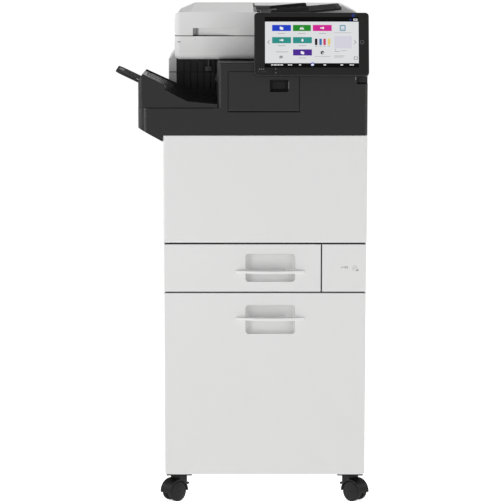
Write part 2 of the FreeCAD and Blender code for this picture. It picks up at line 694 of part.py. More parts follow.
def make_feeder_base():
    low_deck = 1180.0
    slab = box(scanner_x, (scanner_front, 262), (feeder_bottom, low_deck))
    plan = box(scanner_x, (scanner_front, 262), (feeder_bottom, feeder_top))
    plan = round_edges(plan, 14.0, front_upright)
    front_wall = [(scanner_x[0], low_deck), (scanner_x[0], 1210), (-214, 1217), (-24, 1217)]
    front_wall += [(30, 1206), (scanner_x[1], 1200), (scanner_x[1], low_deck)]
    fence = prism(front_wall, "y", scanner_front, -191)
    left_wall = box((scanner_x[0], -219), (-191, 262), (low_deck, 1199))
    rear_outline = [(scanner_x[0], low_deck), (scanner_x[0], 1199), (-216.5, 1202), (-180, 1217)]
    rear_outline += [(-24, 1217.5), (-24, low_deck)]
    rear_wall = prism(rear_outline, "y", 251, 262)
    right_deck = box((-24, scanner_x[1]), (-191, 262), (low_deck, feeder_deck))
    ridge_outline = [(-24, feeder_deck), (scanner_x[1], feeder_deck), (scanner_x[1], 1197.5)]
    ridge_outline += [(202, 1217.5), (-24, 1218.6)]
    ridge = prism(ridge_outline, "y", 106, 262)
    body = join(slab, fence, left_wall, rear_wall, right_deck, ridge).common(plan)
    grip_outline = [(-177, scanner_front - 1), (-177, scanner_front + 26), (-170, scanner_front + 26)]
    grip_outline += [(-163, scanner_front + 13), (-62, scanner_front), (-62, scanner_front - 1)]
    grip = prism(grip_outline, "z", feeder_bottom - 1, 1178)
    body = cut(body, grip)

    lugs = []
    for low, high in ((-68, -62), (42, 48)):
        lug = box((-86, -74), (low, high), (low_deck, 1196))
        lugs.append(cut(lug, along_y(3.0 + shaft_play, (-80, 1190), low - 1, high + 1)))
    feed_x, feed_z = feed_hinge
    for low, high in ((-191, -186), (246, 251)):
        lug = box((-217, feed_x + 4), (low, high), (low_deck, feed_z + 3.2))
        lugs.append(cut(lug, along_y(2.0 + shaft_play, (feed_x, feed_z), low - 1, high + 1)))
    doc_x, doc_z = document_hinge
    for low, high in ((-147, -141), (91, 97)):
        lug = box((doc_x - 5, doc_x + 5), (low, high), (feeder_deck, doc_z + 5))
        lugs.append(cut(lug, along_y(2.0 + shaft_play, (doc_x, doc_z), low - 1, high + 1)))
    hinge_y, hinge_z = lid_hinge
    arms = []
    for low, high, pin_low, pin_high in ((-150, -142, -160, -149), (162, 170, 169, 180)):
        arm = box((low, high), (262, hinge_y), (hinge_z - 4, hinge_z + 5))
        eye = along_x(5.0, (hinge_y, hinge_z), low, high)
        arms += [arm, eye, along_x(3.0, (hinge_y, hinge_z), pin_low, pin_high)]
    save("adf_base", join(body, *lugs, *arms))
    save("platen_pad", box((-165, 185), (-145, 75), (feeder_bottom - 1.2, feeder_bottom)))


def feed_cover_outline(inset):
    slope_foot = (-216.5, 1203.8)
    return [
        (feed_hinge[0] + inset, 1196.6 - 2 * inset), (slope_foot[0] + 0.6 * inset, 1198.0 - 2 * inset),
        (slope_foot[0] + 1.3 * inset, slope_foot[1] - inset), (-180 + 0.4 * inset, feeder_top - inset),
        (-28 - inset, feeder_top - inset), (-28 - inset, 1196.6 - 2 * inset),
    ]


def make_feed_cover():
    y_low, y_high = -190.0, 250.0
    inset = 2.5
    cover = prism(feed_cover_outline(0.0), "y", y_low, y_high)
    room = prism(feed_cover_outline(inset), "y", y_low + inset, y_high - inset)
    bevel = [(y_low - 1, 1217), (-100, feeder_top), (-100, feeder_top + 5), (y_low - 1, feeder_top + 5)]
    bevel_room = [(y, z - inset) for y, z in bevel[:2]] + [(-100, feeder_top), (y_low - 1, feeder_top)]
    crease = box((-230, 0), (103, 104.2), (feeder_top - 0.9, feeder_top + 1))
    cover = cut(cover, prism(bevel, "x", -230, 0), crease)
    room = cut(room, prism(bevel_room, "x", -230, 0))
    feed_x, feed_z = feed_hinge
    for low, high in ((-191.5, -184.5), (244.5, 251.5)):
        cover = cut(cover, box((-225, feed_x + 6), (low, high), (1190, 1225)))
    pins = [
        along_y(2.0, (feed_x, feed_z), -190, -180),
        along_y(2.0, (feed_x, feed_z), 240, 250),
    ]
    bosses = [
        box((feed_x - 2, feed_x + 6), (-184.5, -180), (feed_z - 4, feed_z + 2.2)),
        box((feed_x - 2, feed_x + 6), (240, 244.5), (feed_z - 4, feed_z + 2.2)),
    ]
    save("feed_cover", join(cut(cover, room), *pins, *bosses))

    roller = along_y(9.0, (-80, 1190), -58, 38)
    shaft = along_y(3.0, (-80, 1190), -68, 48)
    save("adf_roller", join(roller, shaft))


def document_place(shape):
    """Turn a level piece, drawn to the right from the origin, up the document tray's slope."""
    shape.rotate(vector(0, 0, 0), vector(0, -1, 0), document_slope)
    shape.translate(vector(document_hinge[0], 0, document_hinge[1]))
    return shape


def make_document_tray():
    slab = box((-3, 206), (-140, 90), (-3, 3))
    slab = round_edges(slab, 16.0, lambda edge: upright(edge) and edge.XMin > 200)
    pins = [
        along_y(2.0, (0, 0), -147, -139),
        along_y(2.0, (0, 0), 89, 97),
    ]
    save("document_tray", document_place(join(slab, *pins)))
    fence_top = 12.5
    fence = box((30, 125), (-137, -134), (3.4, fence_top))
    fence = round_edges(fence, 6.0, lambda edge: edge.YLength > 1 and edge.ZMin > fence_top - 1)
    foot = box((50, 80), (-137, -112), (3.4, 5))
    guide = join(fence, foot)
    middle_y = -25.0
    save("doc_guide_front", document_place(guide.copy()))
    save("doc_guide_rear", document_place(guide.mirror(vector(0, middle_y, 0), vector(0, 1, 0))))


# Operation panel, drawn upright with its lower front edge at the origin.

def panel_place(shape):
    shape.rotate(vector(0, 0, 0), vector(-1, 0, 0), panel_tilt)
    shape.translate(vector(0, panel_foot[0], panel_foot[1]))
    return shape


def make_panel():
    screen_x = (-2.0, 224.0)
    screen_z = (20.0, 144.0)
    body = box(panel_x, (0, panel_depth), (0, panel_height))
    body = round_edges(body, 9.0, lambda edge: edge.YLength > 1)
    rear_bottom = [(panel_depth - 8, -1), (panel_depth + 1, -1), (panel_depth + 1, 8)]
    body = cut(body, prism(rear_bottom, "x", panel_x[0] - 1, panel_x[1] + 1))
    body = round_edges(body, 2.5, lambda edge: edge.YMax < 0.01)
    body = cut(body, box(screen_x, (-1, 2), screen_z))
    body = panel_place(body)
    hinge_y, hinge_z = panel_hinge
    lugs = []
    for low, high, pin_low, pin_high in ((78, 84, 70, 84), (136, 142, 136, 150)):
        arm = panel_place(box((low, high), (panel_depth - 1, panel_depth + 7), (38, 48)))
        eye = along_x(4.5, (hinge_y, hinge_z), low, high)
        lugs += [arm, eye, along_x(2.5, (hinge_y, hinge_z), pin_low, pin_high)]
    save("panel_housing", join(body, *lugs))
    save("touch_screen", panel_place(box(screen_x, (0, 2), screen_z)))

    plate = box((60, 160), (-278, -215), (block_top, block_top + 4))
    ears = []
    for low, high in ((70, 76), (144, 150)):
        arm = box((low, high), (hinge_y, -255), (block_top + 2, hinge_z + 4))
        eye = along_x(5.0, (hinge_y, hinge_z), low, high)
        bore = along_x(2.5 + shaft_play, (hinge_y, hinge_z), low - 1, high + 1)
        ears.append(cut(join(arm, eye), bore))
    save("panel_bracket", join(plate, *ears))


make_casters()
make_cabinet()
make_paper_tray()
make_frame()
make_front_cover()
make_side_covers()
make_side_door()
make_imaging()
make_electrics()
make_rear_cover()
make_upper_housing()
make_staple_door()
make_output_tray()
make_rear_housing()
make_scanner()
make_feeder_base()
make_feed_cover()
make_document_tray()
make_panel()
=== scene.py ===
import json
import math

import bpy
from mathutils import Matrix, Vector


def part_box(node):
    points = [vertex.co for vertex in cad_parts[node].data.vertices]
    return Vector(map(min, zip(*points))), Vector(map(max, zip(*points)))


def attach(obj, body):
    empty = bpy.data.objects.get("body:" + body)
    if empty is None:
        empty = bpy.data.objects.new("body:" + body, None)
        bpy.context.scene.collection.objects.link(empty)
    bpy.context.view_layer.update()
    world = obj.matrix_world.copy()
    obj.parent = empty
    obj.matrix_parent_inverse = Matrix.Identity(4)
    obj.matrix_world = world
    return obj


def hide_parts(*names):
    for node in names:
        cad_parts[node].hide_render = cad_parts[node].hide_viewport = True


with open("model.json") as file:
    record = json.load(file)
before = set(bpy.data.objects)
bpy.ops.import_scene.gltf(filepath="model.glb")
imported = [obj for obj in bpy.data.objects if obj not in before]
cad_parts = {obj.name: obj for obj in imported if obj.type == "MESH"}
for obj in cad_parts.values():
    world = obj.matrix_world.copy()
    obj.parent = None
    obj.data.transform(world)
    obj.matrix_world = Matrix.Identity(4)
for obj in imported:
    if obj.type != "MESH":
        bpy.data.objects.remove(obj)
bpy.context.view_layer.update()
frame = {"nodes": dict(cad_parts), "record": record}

nodes = frame["nodes"]
print("frame loaded with", len(nodes), "nodes")


# Camera, floor and soft studio light.

studio = {
    "eye": (-0.054, -5.912, 1.516),
    "tiltDown": 8.85,
    "lens": 167.1,
    "backdrop": 1.0,            # how bright the room looks behind the machine
    "wallLight": 0.58,          # how much light the room sheds from its walls
    "ceilingLight": 0.28,       # and from right above
    "floorTone": (0.80, 0.80, 0.80, 1),
    "floorGlow": 0.76,          # the lit paper sweep
    "lamps": {
        "stripLeft": dict(at=(-2.3, -2.7, 1.3), size=(0.5, 2.0), power=22),
        "stripRight": dict(at=(2.4, -2.6, 1.3), size=(0.3, 2.0), power=10),
        "fillLeft": dict(at=(-2.6, -0.1, 1.4), size=(1.0, 1.0), power=14),
        "fillRight": dict(at=(2.7, 0.4, 1.4), size=(1.0, 1.0), power=10),
        "topBack": dict(at=(0.3, 2.6, 2.6), size=(2.0, 2.0), power=20),
    },
    "aim": (0, 0, 0.75),
}


def makeStudio(setup):
    tilt = math.radians(90 - setup["tiltDown"])
    bpy.ops.object.camera_add(location=setup["eye"], rotation=(tilt, 0, 0))
    camera = bpy.context.object
    camera.data.lens = setup["lens"]
    camera.data.sensor_width = 36
    camera.data.clip_end = 100
    bpy.context.scene.camera = camera

    bpy.ops.mesh.primitive_plane_add(size=60, location=(0, 0, 0))
    floor = bpy.context.object
    floor.name = "floor"
    paper = bpy.data.materials.new("floorPaper")
    paper.use_nodes = True
    shader = paper.node_tree.nodes["Principled BSDF"]
    shader.inputs["Base Color"].default_value = setup["floorTone"]
    shader.inputs["Roughness"].default_value = 0.9
    shader.inputs["Emission Color"].default_value = (1, 1, 1, 1)
    shader.inputs["Emission Strength"].default_value = setup["floorGlow"]
    floor.data.materials.append(paper)

    for name, lamp in setup["lamps"].items():
        bpy.ops.object.light_add(type="AREA", location=lamp["at"])
        light = bpy.context.object
        light.name = name
        light.data.shape = "RECTANGLE"
        light.data.size, light.data.size_y = lamp["size"]
        light.data.energy = lamp["power"]
        toAim = Vector(setup["aim"]) - light.location
        light.rotation_euler = toAim.to_track_quat("-Z", "Y").to_euler()

    # the backdrop looks white while the room sheds a softer light
    world = bpy.data.worlds.new("whiteRoom")
    world.use_nodes = True
    tree = world.node_tree
    background = tree.nodes["Background"]
    background.inputs["Color"].default_value = (1, 1, 1, 1)
    place = tree.nodes.new("ShaderNodeTexCoord")
    split = tree.nodes.new("ShaderNodeSeparateXYZ")
    fade = tree.nodes.new("ShaderNodeMapRange")
    fade.inputs["From Max"].default_value = 0.8
    fade.inputs["To Min"].default_value = setup["wallLight"]
    fade.inputs["To Max"].default_value = setup["ceilingLight"]
    tree.links.new(place.outputs["Generated"], split.inputs[0])
    tree.links.new(split.outputs["Z"], fade.inputs["Value"])
    rays = tree.nodes.new("ShaderNodeLightPath")
    strength = tree.nodes.new("ShaderNodeMapRange")
    tree.links.new(fade.outputs["Result"], strength.inputs["To Min"])
    strength.inputs["To Max"].default_value = setup["backdrop"]
    tree.links.new(rays.outputs["Is Camera Ray"], strength.inputs["Value"])
    tree.links.new(strength.outputs["Result"], background.inputs["Strength"])
    scene = bpy.context.scene
    scene.world = world
    scene.view_settings.view_transform = "Standard"
    print("studio ready with", len(setup["lamps"]), "lamps")


makeStudio(studio)


# Materials. A Wire is a socket that can be used in sums, and a Finish is one material being wired up.

class Wire:
    def __init__(self, finish, socket):
        self.finish = finish
        self.socket = socket

    def calc(self, operation, first, second):
        return self.finish.node("ShaderNodeMath", {"operation": operation}, [first, second])

    def __add__(self, other):
        return self.calc("ADD", self, other)

    def __radd__(self, other):
        return self.calc("ADD", other, self)

    def __sub__(self, other):
        return self.calc("SUBTRACT", self, other)

    def __rsub__(self, other):
        return self.calc("SUBTRACT", other, self)

    def __mul__(self, other):
        return self.calc("MULTIPLY", self, other)

    def __rmul__(self, other):
        return self.calc("MULTIPLY", other, self)

    def __lt__(self, other):
        return self.calc("LESS_THAN", self, other)


class Finish:
    def __init__(self, name, **uniform):
        self.material = bpy.data.materials.new(name)
        self.material.use_nodes = True
        self.tree = self.material.node_tree
        self.shader = self.tree.nodes["Principled BSDF"]
        for socket, value in uniform.items():
            self.shader.inputs[socket.replace("_", " ")].default_value = value
        self.place = self.node("ShaderNodeTexCoord", output="Object")

    def node(self, kind, settings=None, inputs=None, output=0):
        made = self.tree.nodes.new(kind)
        for name, value in (settings or {}).items():
            setattr(made, name, value)
        given = inputs.items() if isinstance(inputs, dict) else enumerate(inputs or [])
        for key, value in given:
            self.feed(made.inputs[key], value)
        return Wire(self, made.outputs[output])

    def feed(self, socket, value):
        if isinstance(value, Wire):
            self.tree.links.new(value.socket, socket)
        else:
            socket.default_value = value

    def noise(self, scale, detail=3.0, roughness=0.5, place=None):
        inputs = {"Vector": place or self.place, "Scale": scale, "Detail": detail, "Roughness": roughness}
        return self.node("ShaderNodeTexNoise", {}, inputs, "Fac")

    def cells(self, scale):
        inputs = {"Vector": self.place, "Scale": scale}
        return self.node("ShaderNodeTexVoronoi", {"feature": "F1"}, inputs, "Distance")

    def stretched(self, factors):
        inputs = {"Vector": self.place, "Scale": factors}
        return self.node("ShaderNodeMapping", {"vector_type": "POINT"}, inputs)

    def axes(self):
        made = self.tree.nodes.new("ShaderNodeSeparateXYZ")
        self.feed(made.inputs[0], self.place)
        return [Wire(self, output) for output in made.outputs]

    def blend(self, factor, first, second):
        made = self.tree.nodes.new("ShaderNodeMix")
        made.data_type = "RGBA"
        self.feed(made.inputs["Factor"], factor)
        self.feed(made.inputs["A"], first)
        self.feed(made.inputs["B"], second)
        return Wire(self, made.outputs["Result"])

    def smooth(self, value, low, high):
        inputs = {"Value": value, "From Min": low, "From Max": high}
        return self.node("ShaderNodeMapRange", {"interpolation_type": "SMOOTHSTEP"}, inputs)

    def colour(self, wire):
        self.feed(self.shader.inputs["Base Color"], wire)

    def roughness(self, wire):
        self.feed(self.shader.inputs["Roughness"], wire)

    def bump(self, height, strength, distance):
        inputs = {"Height": height, "Strength": strength, "Distance": distance}
        self.feed(self.shader.inputs["Normal"], self.node("ShaderNodeBump", {}, inputs, "Normal"))


def grey(value, warm=0.0):
    return (value + warm, value, value - warm, 1)


def mouldedLight(name, tone, grain=900.0, rough=0.46):
    # fine spark-eroded texture, faint flow marks and a little dust towards the floor
    finish = Finish(name, Specular_IOR_Level=0.4)
    flow = finish.noise(3.0, 2.0)
    specks = finish.noise(grain, 2.0)
    height = finish.axes()[2]
    dust = (1 - finish.smooth(height, 0.05, 0.55)) * 0.35
    clean = finish.blend(flow, grey(tone * 0.985, 0.002), grey(tone * 1.01, 0.003))
    finish.colour(finish.blend(dust * finish.noise(14.0, 4.0), clean, grey(tone * 0.86, 0.008)))
    finish.roughness(rough + (finish.noise(30.0, 3.0) - 0.5) * 0.12 + (specks - 0.5) * 0.1)
    finish.bump(specks, 0.12, 0.0002)
    return finish.material


def powderCoat(name, tone):
    # baked paint with a soft orange peel
    finish = Finish(name, Specular_IOR_Level=0.45)
    peel = finish.noise(420.0, 1.0)
    fine = finish.noise(1600.0, 2.0)
    flow = finish.noise(2.2, 3.0)
    height = finish.axes()[2]
    scuffs = finish.smooth(finish.noise(26.0, 6.0, 0.7), 0.62, 0.75) * (1 - finish.smooth(height, 0.08, 0.22))
    clean = finish.blend(flow, grey(tone * 0.985, 0.002), grey(tone * 1.01, 0.002))
    finish.colour(finish.blend(scuffs * 0.5, clean, grey(tone * 0.6, 0.006)))
    finish.roughness(0.40 + (flow - 0.5) * 0.1 + scuffs * 0.2)
    finish.bump(peel * 0.8 + fine * 0.2, 0.22, 0.0003)
    return finish.material


def mouldedDark(name, tone, grain=1100.0, rough=0.5, depth=0.35, shine=0.28):
    # leathery grain of small cells, with slightly polished patches
    finish = Finish(name, Specular_IOR_Level=shine)
    cells = finish.cells(grain)
    flow = finish.noise(5.0, 3.0)
    polish = finish.noise(18.0, 4.0, 0.6)
    base = finish.blend(flow, grey(tone * 0.9), grey(tone * 1.12, 0.0004))
    lint = finish.smooth(finish.noise(240.0, 5.0, 0.75), 0.70, 0.80)
    finish.colour(finish.blend(lint * 0.05, base, grey(tone * 3.2)))
    finish.roughness(rough + (polish - 0.5) * 0.16)
    finish.bump(cells + finish.noise(2600.0, 2.0) * 0.4, depth, 0.00025)
    return finish.material


def zincSheet(name):
    # spangled zinc coat with rolling lines
    finish = Finish(name, Metallic=1.0)
    spangle = finish.cells(90.0)
    lines = finish.noise(60.0, 4.0, 0.6, finish.stretched((0.05, 1.0, 14.0)))
    tone = finish.blend(spangle * 1.2, (0.46, 0.47, 0.49, 1), (0.66, 0.67, 0.69, 1))
    finish.colour(finish.blend(lines * 0.4, tone, (0.40, 0.41, 0.42, 1)))
    finish.roughness(0.30 + spangle * 0.18 + lines * 0.12)
    finish.bump(lines, 0.15, 0.0002)
    return finish.material


def rubber(name, tone):
    finish = Finish(name, Specular_IOR_Level=0.25)
    grain = finish.noise(700.0, 4.0, 0.6)
    bloom = finish.smooth(finish.noise(22.0, 5.0), 0.5, 0.8)
    finish.colour(finish.blend(bloom * 0.4, grey(tone), grey(tone * 2.0, 0.002)))
    finish.roughness(0.62 + bloom * 0.2)
    finish.bump(grain, 0.3, 0.0003)
    return finish.material


def clearGlass(name):
    finish = Finish(name, Transmission_Weight=0.9, IOR=1.5)
    smear = finish.noise(9.0, 4.0, 0.6)
    finish.colour(finish.blend(smear, (0.86, 0.93, 0.91, 1), (0.90, 0.95, 0.94, 1)))
    finish.roughness(0.04 + finish.smooth(smear, 0.5, 0.9) * 0.1)
    return finish.material


def solderMask(name):
    # board lacquer with a maze of tracks and tinned pads
    finish = Finish(name, Specular_IOR_Level=0.5)
    tones = {"Color1": grey(0.0), "Color2": grey(1.0), "Mortar": grey(0.5)}
    inputs = {"Vector": finish.place, "Scale": 180.0, **tones}
    tracks = finish.node("ShaderNodeTexBrick", {}, inputs, "Fac")
    pads = finish.cells(220.0) < 0.18
    lacquer = finish.blend(tracks, (0.012, 0.115, 0.05, 1), (0.03, 0.20, 0.08, 1))
    finish.colour(finish.blend(pads, lacquer, (0.72, 0.70, 0.62, 1)))
    finish.roughness(0.3 + tracks * 0.15)
    finish.bump(tracks + pads, 0.2, 0.0002)
    return finish.material


def foamFelt(name, tone):
    # open cells and no shine
    finish = Finish(name, Specular_IOR_Level=0.05)
    pile = finish.noise(300.0, 4.0, 0.7)
    finish.colour(finish.blend(pile, grey(tone * 0.6), grey(tone * 1.4)))
    finish.roughness(0.85 + (pile - 0.5) * 0.2)
    finish.bump(finish.cells(900.0), 0.5, 0.0004)
    return finish.material


finishes = {
    "casing_light": mouldedLight("lightCasing", 0.72),
    "cabinet_paint": powderCoat("cabinetPaint", 0.69),
    "handle_light": mouldedLight("handleCasing", 0.76, 1400.0, 0.38),
    "charcoal_plastic": mouldedDark("charcoalGrain", 0.0125, 1100.0, 0.30, 0.12, 0.34),
    "dull_plastic": mouldedDark("dullGrain", 0.034, 900.0, 0.75, 0.3, 0.04),
    "panel_plastic": mouldedDark("panelCasing", 0.013, 1900.0, 0.42, 0.15),
    "screen_glass": mouldedDark("screenBezel", 0.003, 3000.0, 0.14, 0.02, 0.08),
    "platen_clear": clearGlass("platenGlass"),
    "pad_white": mouldedLight("padSheet", 0.85, 300.0, 0.7),
    "inner_grey": mouldedLight("innerMoulding", 0.36, 700.0, 0.5),
    "sheet_steel": zincSheet("zincSheet"),
    "unit_black": mouldedDark("unitMoulding", 0.016, 800.0, 0.55),
    "board_green": solderMask("boardLacquer"),
    "roller_rubber": rubber("rollerRubber", 0.045),
    "caster_black": mouldedDark("casterNylon", 0.006, 1500.0, 0.42, 0.2, 0.2),
    "caster_tyre": rubber("casterTread", 0.012),
}

# finishes of small pieces that have no node of their own
extras = {
    # near-black foam for the seam strips: painted shade in the gaps
    "foam": foamFelt("seamShadeFoam", 0.006),
    # grey pad print, also the painted highlight on the staple recess's edge
    "print": mouldedDark("padPrintAndHighlight", 0.16, 2400.0, 0.6, 0.05),
    "greyPrint": mouldedDark("greyPrint", 0.36, 2400.0, 0.6, 0.05),
    "throat": mouldedDark("throatMoulding", 0.15, 1300.0, 0.6, 0.15),
    "cavity": mouldedDark("cavityMoulding", 0.004, 900.0, 0.6, 0.3),
    # near black: painted shade in the staple recess, and ink for the scale's ticks
    "latch": mouldedDark("shadeAndTickBlack", 0.0015, 1500.0, 0.5, 0.2),
    # pale print for the scale round the glass, also the painted highlight on the output flap
    "brightPrintAndHighlight": mouldedLight("brightPrintAndFlapHighlight", 0.80, 2000.0, 0.4),
    "screw": zincSheet("screwZinc"),
}

# nodes that wear another finish than their slot's
special = {
    "document_tray": "dull_plastic",
    "doc_guide_front": "dull_plastic",
    "doc_guide_rear": "dull_plastic",
    "tray_extension": "dull_plastic",
    "caster_brackets": "caster_black",
}

for entry in frame["record"]["subparts"]:
    name = entry["node"]
    nodes[name].data.materials.clear()
    nodes[name].data.materials.append(finishes[special.get(name, entry["material_slot"])])
print("finishes made:", len(finishes))


# Modelling helpers. Sizes and places are in millimetres.

mm = 0.001
sideways = {"X": (0, math.pi / 2, 0), "Y": (math.pi / 2, 0, 0), "Z": (0, 0, 0)}


def only(*pieces):
    bpy.ops.object.select_all(action="DESELECT")
    for piece in pieces:
        piece.select_set(True)
    bpy.context.view_layer.objects.active = pieces[0]


def settle(piece):
    # the place goes into the mesh and the object stays at the origin
    only(piece)
    bpy.ops.object.transform_apply(location=True, rotation=True, scale=True)
    return piece


def modify(piece, kind, **settings):
    only(piece)
    modifier = piece.modifiers.new(kind.title(), kind)
    for name, value in settings.items():
        setattr(modifier, name, value)
    bpy.ops.object.modifier_apply(modifier=modifier.name)


def soften(piece, radius, segments=2):
    modify(piece, "BEVEL", width=radius * mm, segments=segments, limit_method="ANGLE")


def scaled(point):
    return [value * mm for value in point]


def span(node):
    # a node's box in millimetres: X, Y and Z, each from low to high
    low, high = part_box(node)
    return [(a / mm, b / mm) for a, b in zip(low, high)]


def block(low, high, rim=0.0, segments=2):
    bpy.ops.object.select_all(action="DESELECT")
    middle = [(a + b) / 2 for a, b in zip(low, high)]
    bpy.ops.mesh.primitive_cube_add(size=mm, location=scaled(middle))
    piece = bpy.context.object
    piece.scale = [b - a for a, b in zip(low, high)]
    settle(piece)
    if rim:
        soften(piece, rim, segments)
    return piece


def disc(radius, centre, depth, axis="Y", rim=0.0, sides=40):
    bpy.ops.object.select_all(action="DESELECT")
    bpy.ops.mesh.primitive_cylinder_add(
        vertices=sides, radius=radius * mm, depth=depth * mm, location=scaled(centre), rotation=sideways[axis]
    )
    piece = settle(bpy.context.object)
    if rim:
        soften(piece, rim)
    return piece


def ring(radius, thickness, centre, axis="Y"):
    bpy.ops.object.select_all(action="DESELECT")
    bpy.ops.mesh.primitive_torus_add(
        major_radius=radius * mm, minor_radius=thickness * mm, major_segments=40, minor_segments=8,
        location=scaled(centre), rotation=sideways[axis]
    )
    return settle(bpy.context.object)


def plate(x, z, front, thick=0.2, corner=0.8, turn=0.0):
    # a thin plate that faces the operator, its corners rounded in edit mode
    bpy.ops.object.select_all(action="DESELECT")
    middle = ((x[0] + x[1]) / 2, front, (z[0] + z[1]) / 2)
    facing = (math.pi / 2, math.radians(turn), 0)
    bpy.ops.mesh.primitive_plane_add(size=mm, location=scaled(middle), rotation=facing)
    piece = bpy.context.object
    piece.scale = (x[1] - x[0], z[1] - z[0], 1)
    settle(piece)
    bpy.ops.object.mode_set(mode="EDIT")
    bpy.ops.mesh.select_all(action="SELECT")
    if corner:
        bpy.ops.mesh.bevel(offset=corner * mm, segments=4, affect="VERTICES")
    bpy.ops.mesh.select_all(action="SELECT")
    bpy.ops.mesh.extrude_region_move(TRANSFORM_OT_translate={"value": (0, thick * mm, 0)})
    bpy.ops.mesh.select_all(action="SELECT")
    bpy.ops.mesh.normals_make_consistent(inside=False)
    bpy.ops.object.mode_set(mode="OBJECT")
    return piece


def strip(route, y, thick):
    # a bent sheet through points of X and Z, drawn from one Y to another
    (x0, z0), (x1, z1) = route[:2]
    slope = math.atan2(z1 - z0, x1 - x0)
    middle = ((x0 + x1) / 2, (y[0] + y[1]) / 2, (z0 + z1) / 2)
    bpy.ops.object.select_all(action="DESELECT")
    bpy.ops.mesh.primitive_plane_add(size=mm, location=scaled(middle), rotation=(0, -slope, 0))
    piece = bpy.context.object
    piece.scale = (math.hypot(x1 - x0, z1 - z0), y[1] - y[0], 1)
    settle(piece)
    for (xa, za), (xb, zb) in zip(route[1:], route[2:]):
        bpy.ops.object.mode_set(mode="EDIT")
        bpy.ops.mesh.select_mode(type="VERT")
        bpy.ops.mesh.select_all(action="DESELECT")
        bpy.ops.object.mode_set(mode="OBJECT")
        for vertex in piece.data.vertices:
            vertex.select = abs(vertex.co.x - xa * mm) < 1e-5 and abs(vertex.co.z - za * mm) < 1e-5
        bpy.ops.object.mode_set(mode="EDIT")
        step = ((xb - xa) * mm, 0, (zb - za) * mm)
        bpy.ops.mesh.extrude_region_move(TRANSFORM_OT_translate={"value": step})
        bpy.ops.object.mode_set(mode="OBJECT")
    modify(piece, "SOLIDIFY", thickness=thick * mm, offset=1)
    tidyNormals(piece)
    return piece


def tidyNormals(piece):
    only(piece)
    bpy.ops.object.mode_set(mode="EDIT")
    bpy.ops.mesh.select_all(action="SELECT")
    bpy.ops.mesh.normals_make_consistent(inside=False)
    bpy.ops.object.mode_set(mode="OBJECT")


def dish(piece, test, steps):
    # inset the faces that pass the test, again and again, by (rim, depth)
    only(piece)
    bpy.ops.object.mode_set(mode="EDIT")
    bpy.ops.mesh.select_mode(type="FACE")
    bpy.ops.mesh.select_all(action="DESELECT")
    bpy.ops.object.mode_set(mode="OBJECT")
    for face in piece.data.polygons:
        face.select = test(face)
    bpy.ops.object.mode_set(mode="EDIT")
    for rim, depth in steps:
        bpy.ops.mesh.inset(thickness=rim * mm, depth=depth * mm)
    bpy.ops.object.mode_set(mode="OBJECT")
    return piece


def paint(piece, finish):
    piece.data.materials.clear()
    piece.data.materials.append(finish)
    return piece


def gather(name, pieces, body, finish=None):
    # join what belongs together, and let it ride on its body
    if finish:
        for piece in pieces:
            paint(piece, finish)
    only(*pieces)
    if len(pieces) > 1:
        bpy.ops.object.join()
    made = bpy.context.object
    made.name = name
    made.data.name = name
    bpy.ops.object.shade_smooth_by_angle(angle=math.radians(32))
    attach(made, body)
    return made


def turned(pieces, angle, place, axis="Z"):
    # turn pieces that were drawn at the origin, and set them in place
    amount = math.radians(angle)
    spin = {"X": (amount, 0, 0), "Y": (0, amount, 0), "Z": (0, 0, amount)}
    for piece in pieces:
        piece.rotation_euler = spin[axis]
        piece.location = scaled(place)
        settle(piece)
    return pieces


def display(red, green, blue):
    # a screen colour as linear light
    linear = [(value / 255 + 0.055) ** 2.4 / 1.055 ** 2.4 for value in (red, green, blue)]
    return (*linear, 1)


# The touch panel: a lit page with tiles, bars and buttons behind the glass.

def litPage(name, colour, uneven=0.04):
    # a backlit layer with a faint cell structure and a softer edge to the light
    finish = Finish(name, Emission_Strength=1.0, Specular_IOR_Level=0.3)
    cloud = finish.noise(16.0, 2.0)
    cells = finish.noise(1500.0, 1.0)
    dimmer = tuple(value * (1 - 3 * uneven) for value in colour[:3]) + (1,)
    glow = finish.blend(cloud * 0.7 + cells * 0.3, dimmer, colour)
    finish.feed(finish.shader.inputs["Emission Color"], glow)
    finish.colour(finish.blend(cells, grey(0.004), grey(0.012)))
    finish.roughness(0.16 + cells * 0.08)
    return finish.material


inks = {
    "page": litPage("pageLight", display(224, 226, 228)),
    "white": litPage("glyphLight", display(240, 242, 244)),
    "shade": litPage("cardLight", display(214, 212, 224)),
    "blue": litPage("tileBlue", display(10, 58, 204), 0.08),
    "green": litPage("tileGreen", display(14, 138, 26), 0.08),
    "pink": litPage("tilePink", display(214, 26, 150), 0.08),
    "teal": litPage("tileTeal", display(36, 148, 140), 0.08),
    "purple": litPage("tilePurple", display(74, 28, 148), 0.08),
    "sky": litPage("tileSky", display(130, 168, 190), 0.08),
    "black": litPage("inkBlack", display(18, 10, 24)),
    "cyan": litPage("inkCyan", display(46, 110, 176)),
    "red": litPage("inkRed", display(200, 60, 104)),
    "yellow": litPage("inkYellow", display(232, 204, 112)),
    "line": litPage("captionGrey", display(150, 152, 158)),
    "ink": litPage("strokeGrey", display(70, 72, 80)),
    "glow": litPage("homeGlow", display(30, 56, 170)),
    "mark": litPage("bezelMark", display(112, 114, 118)),
}

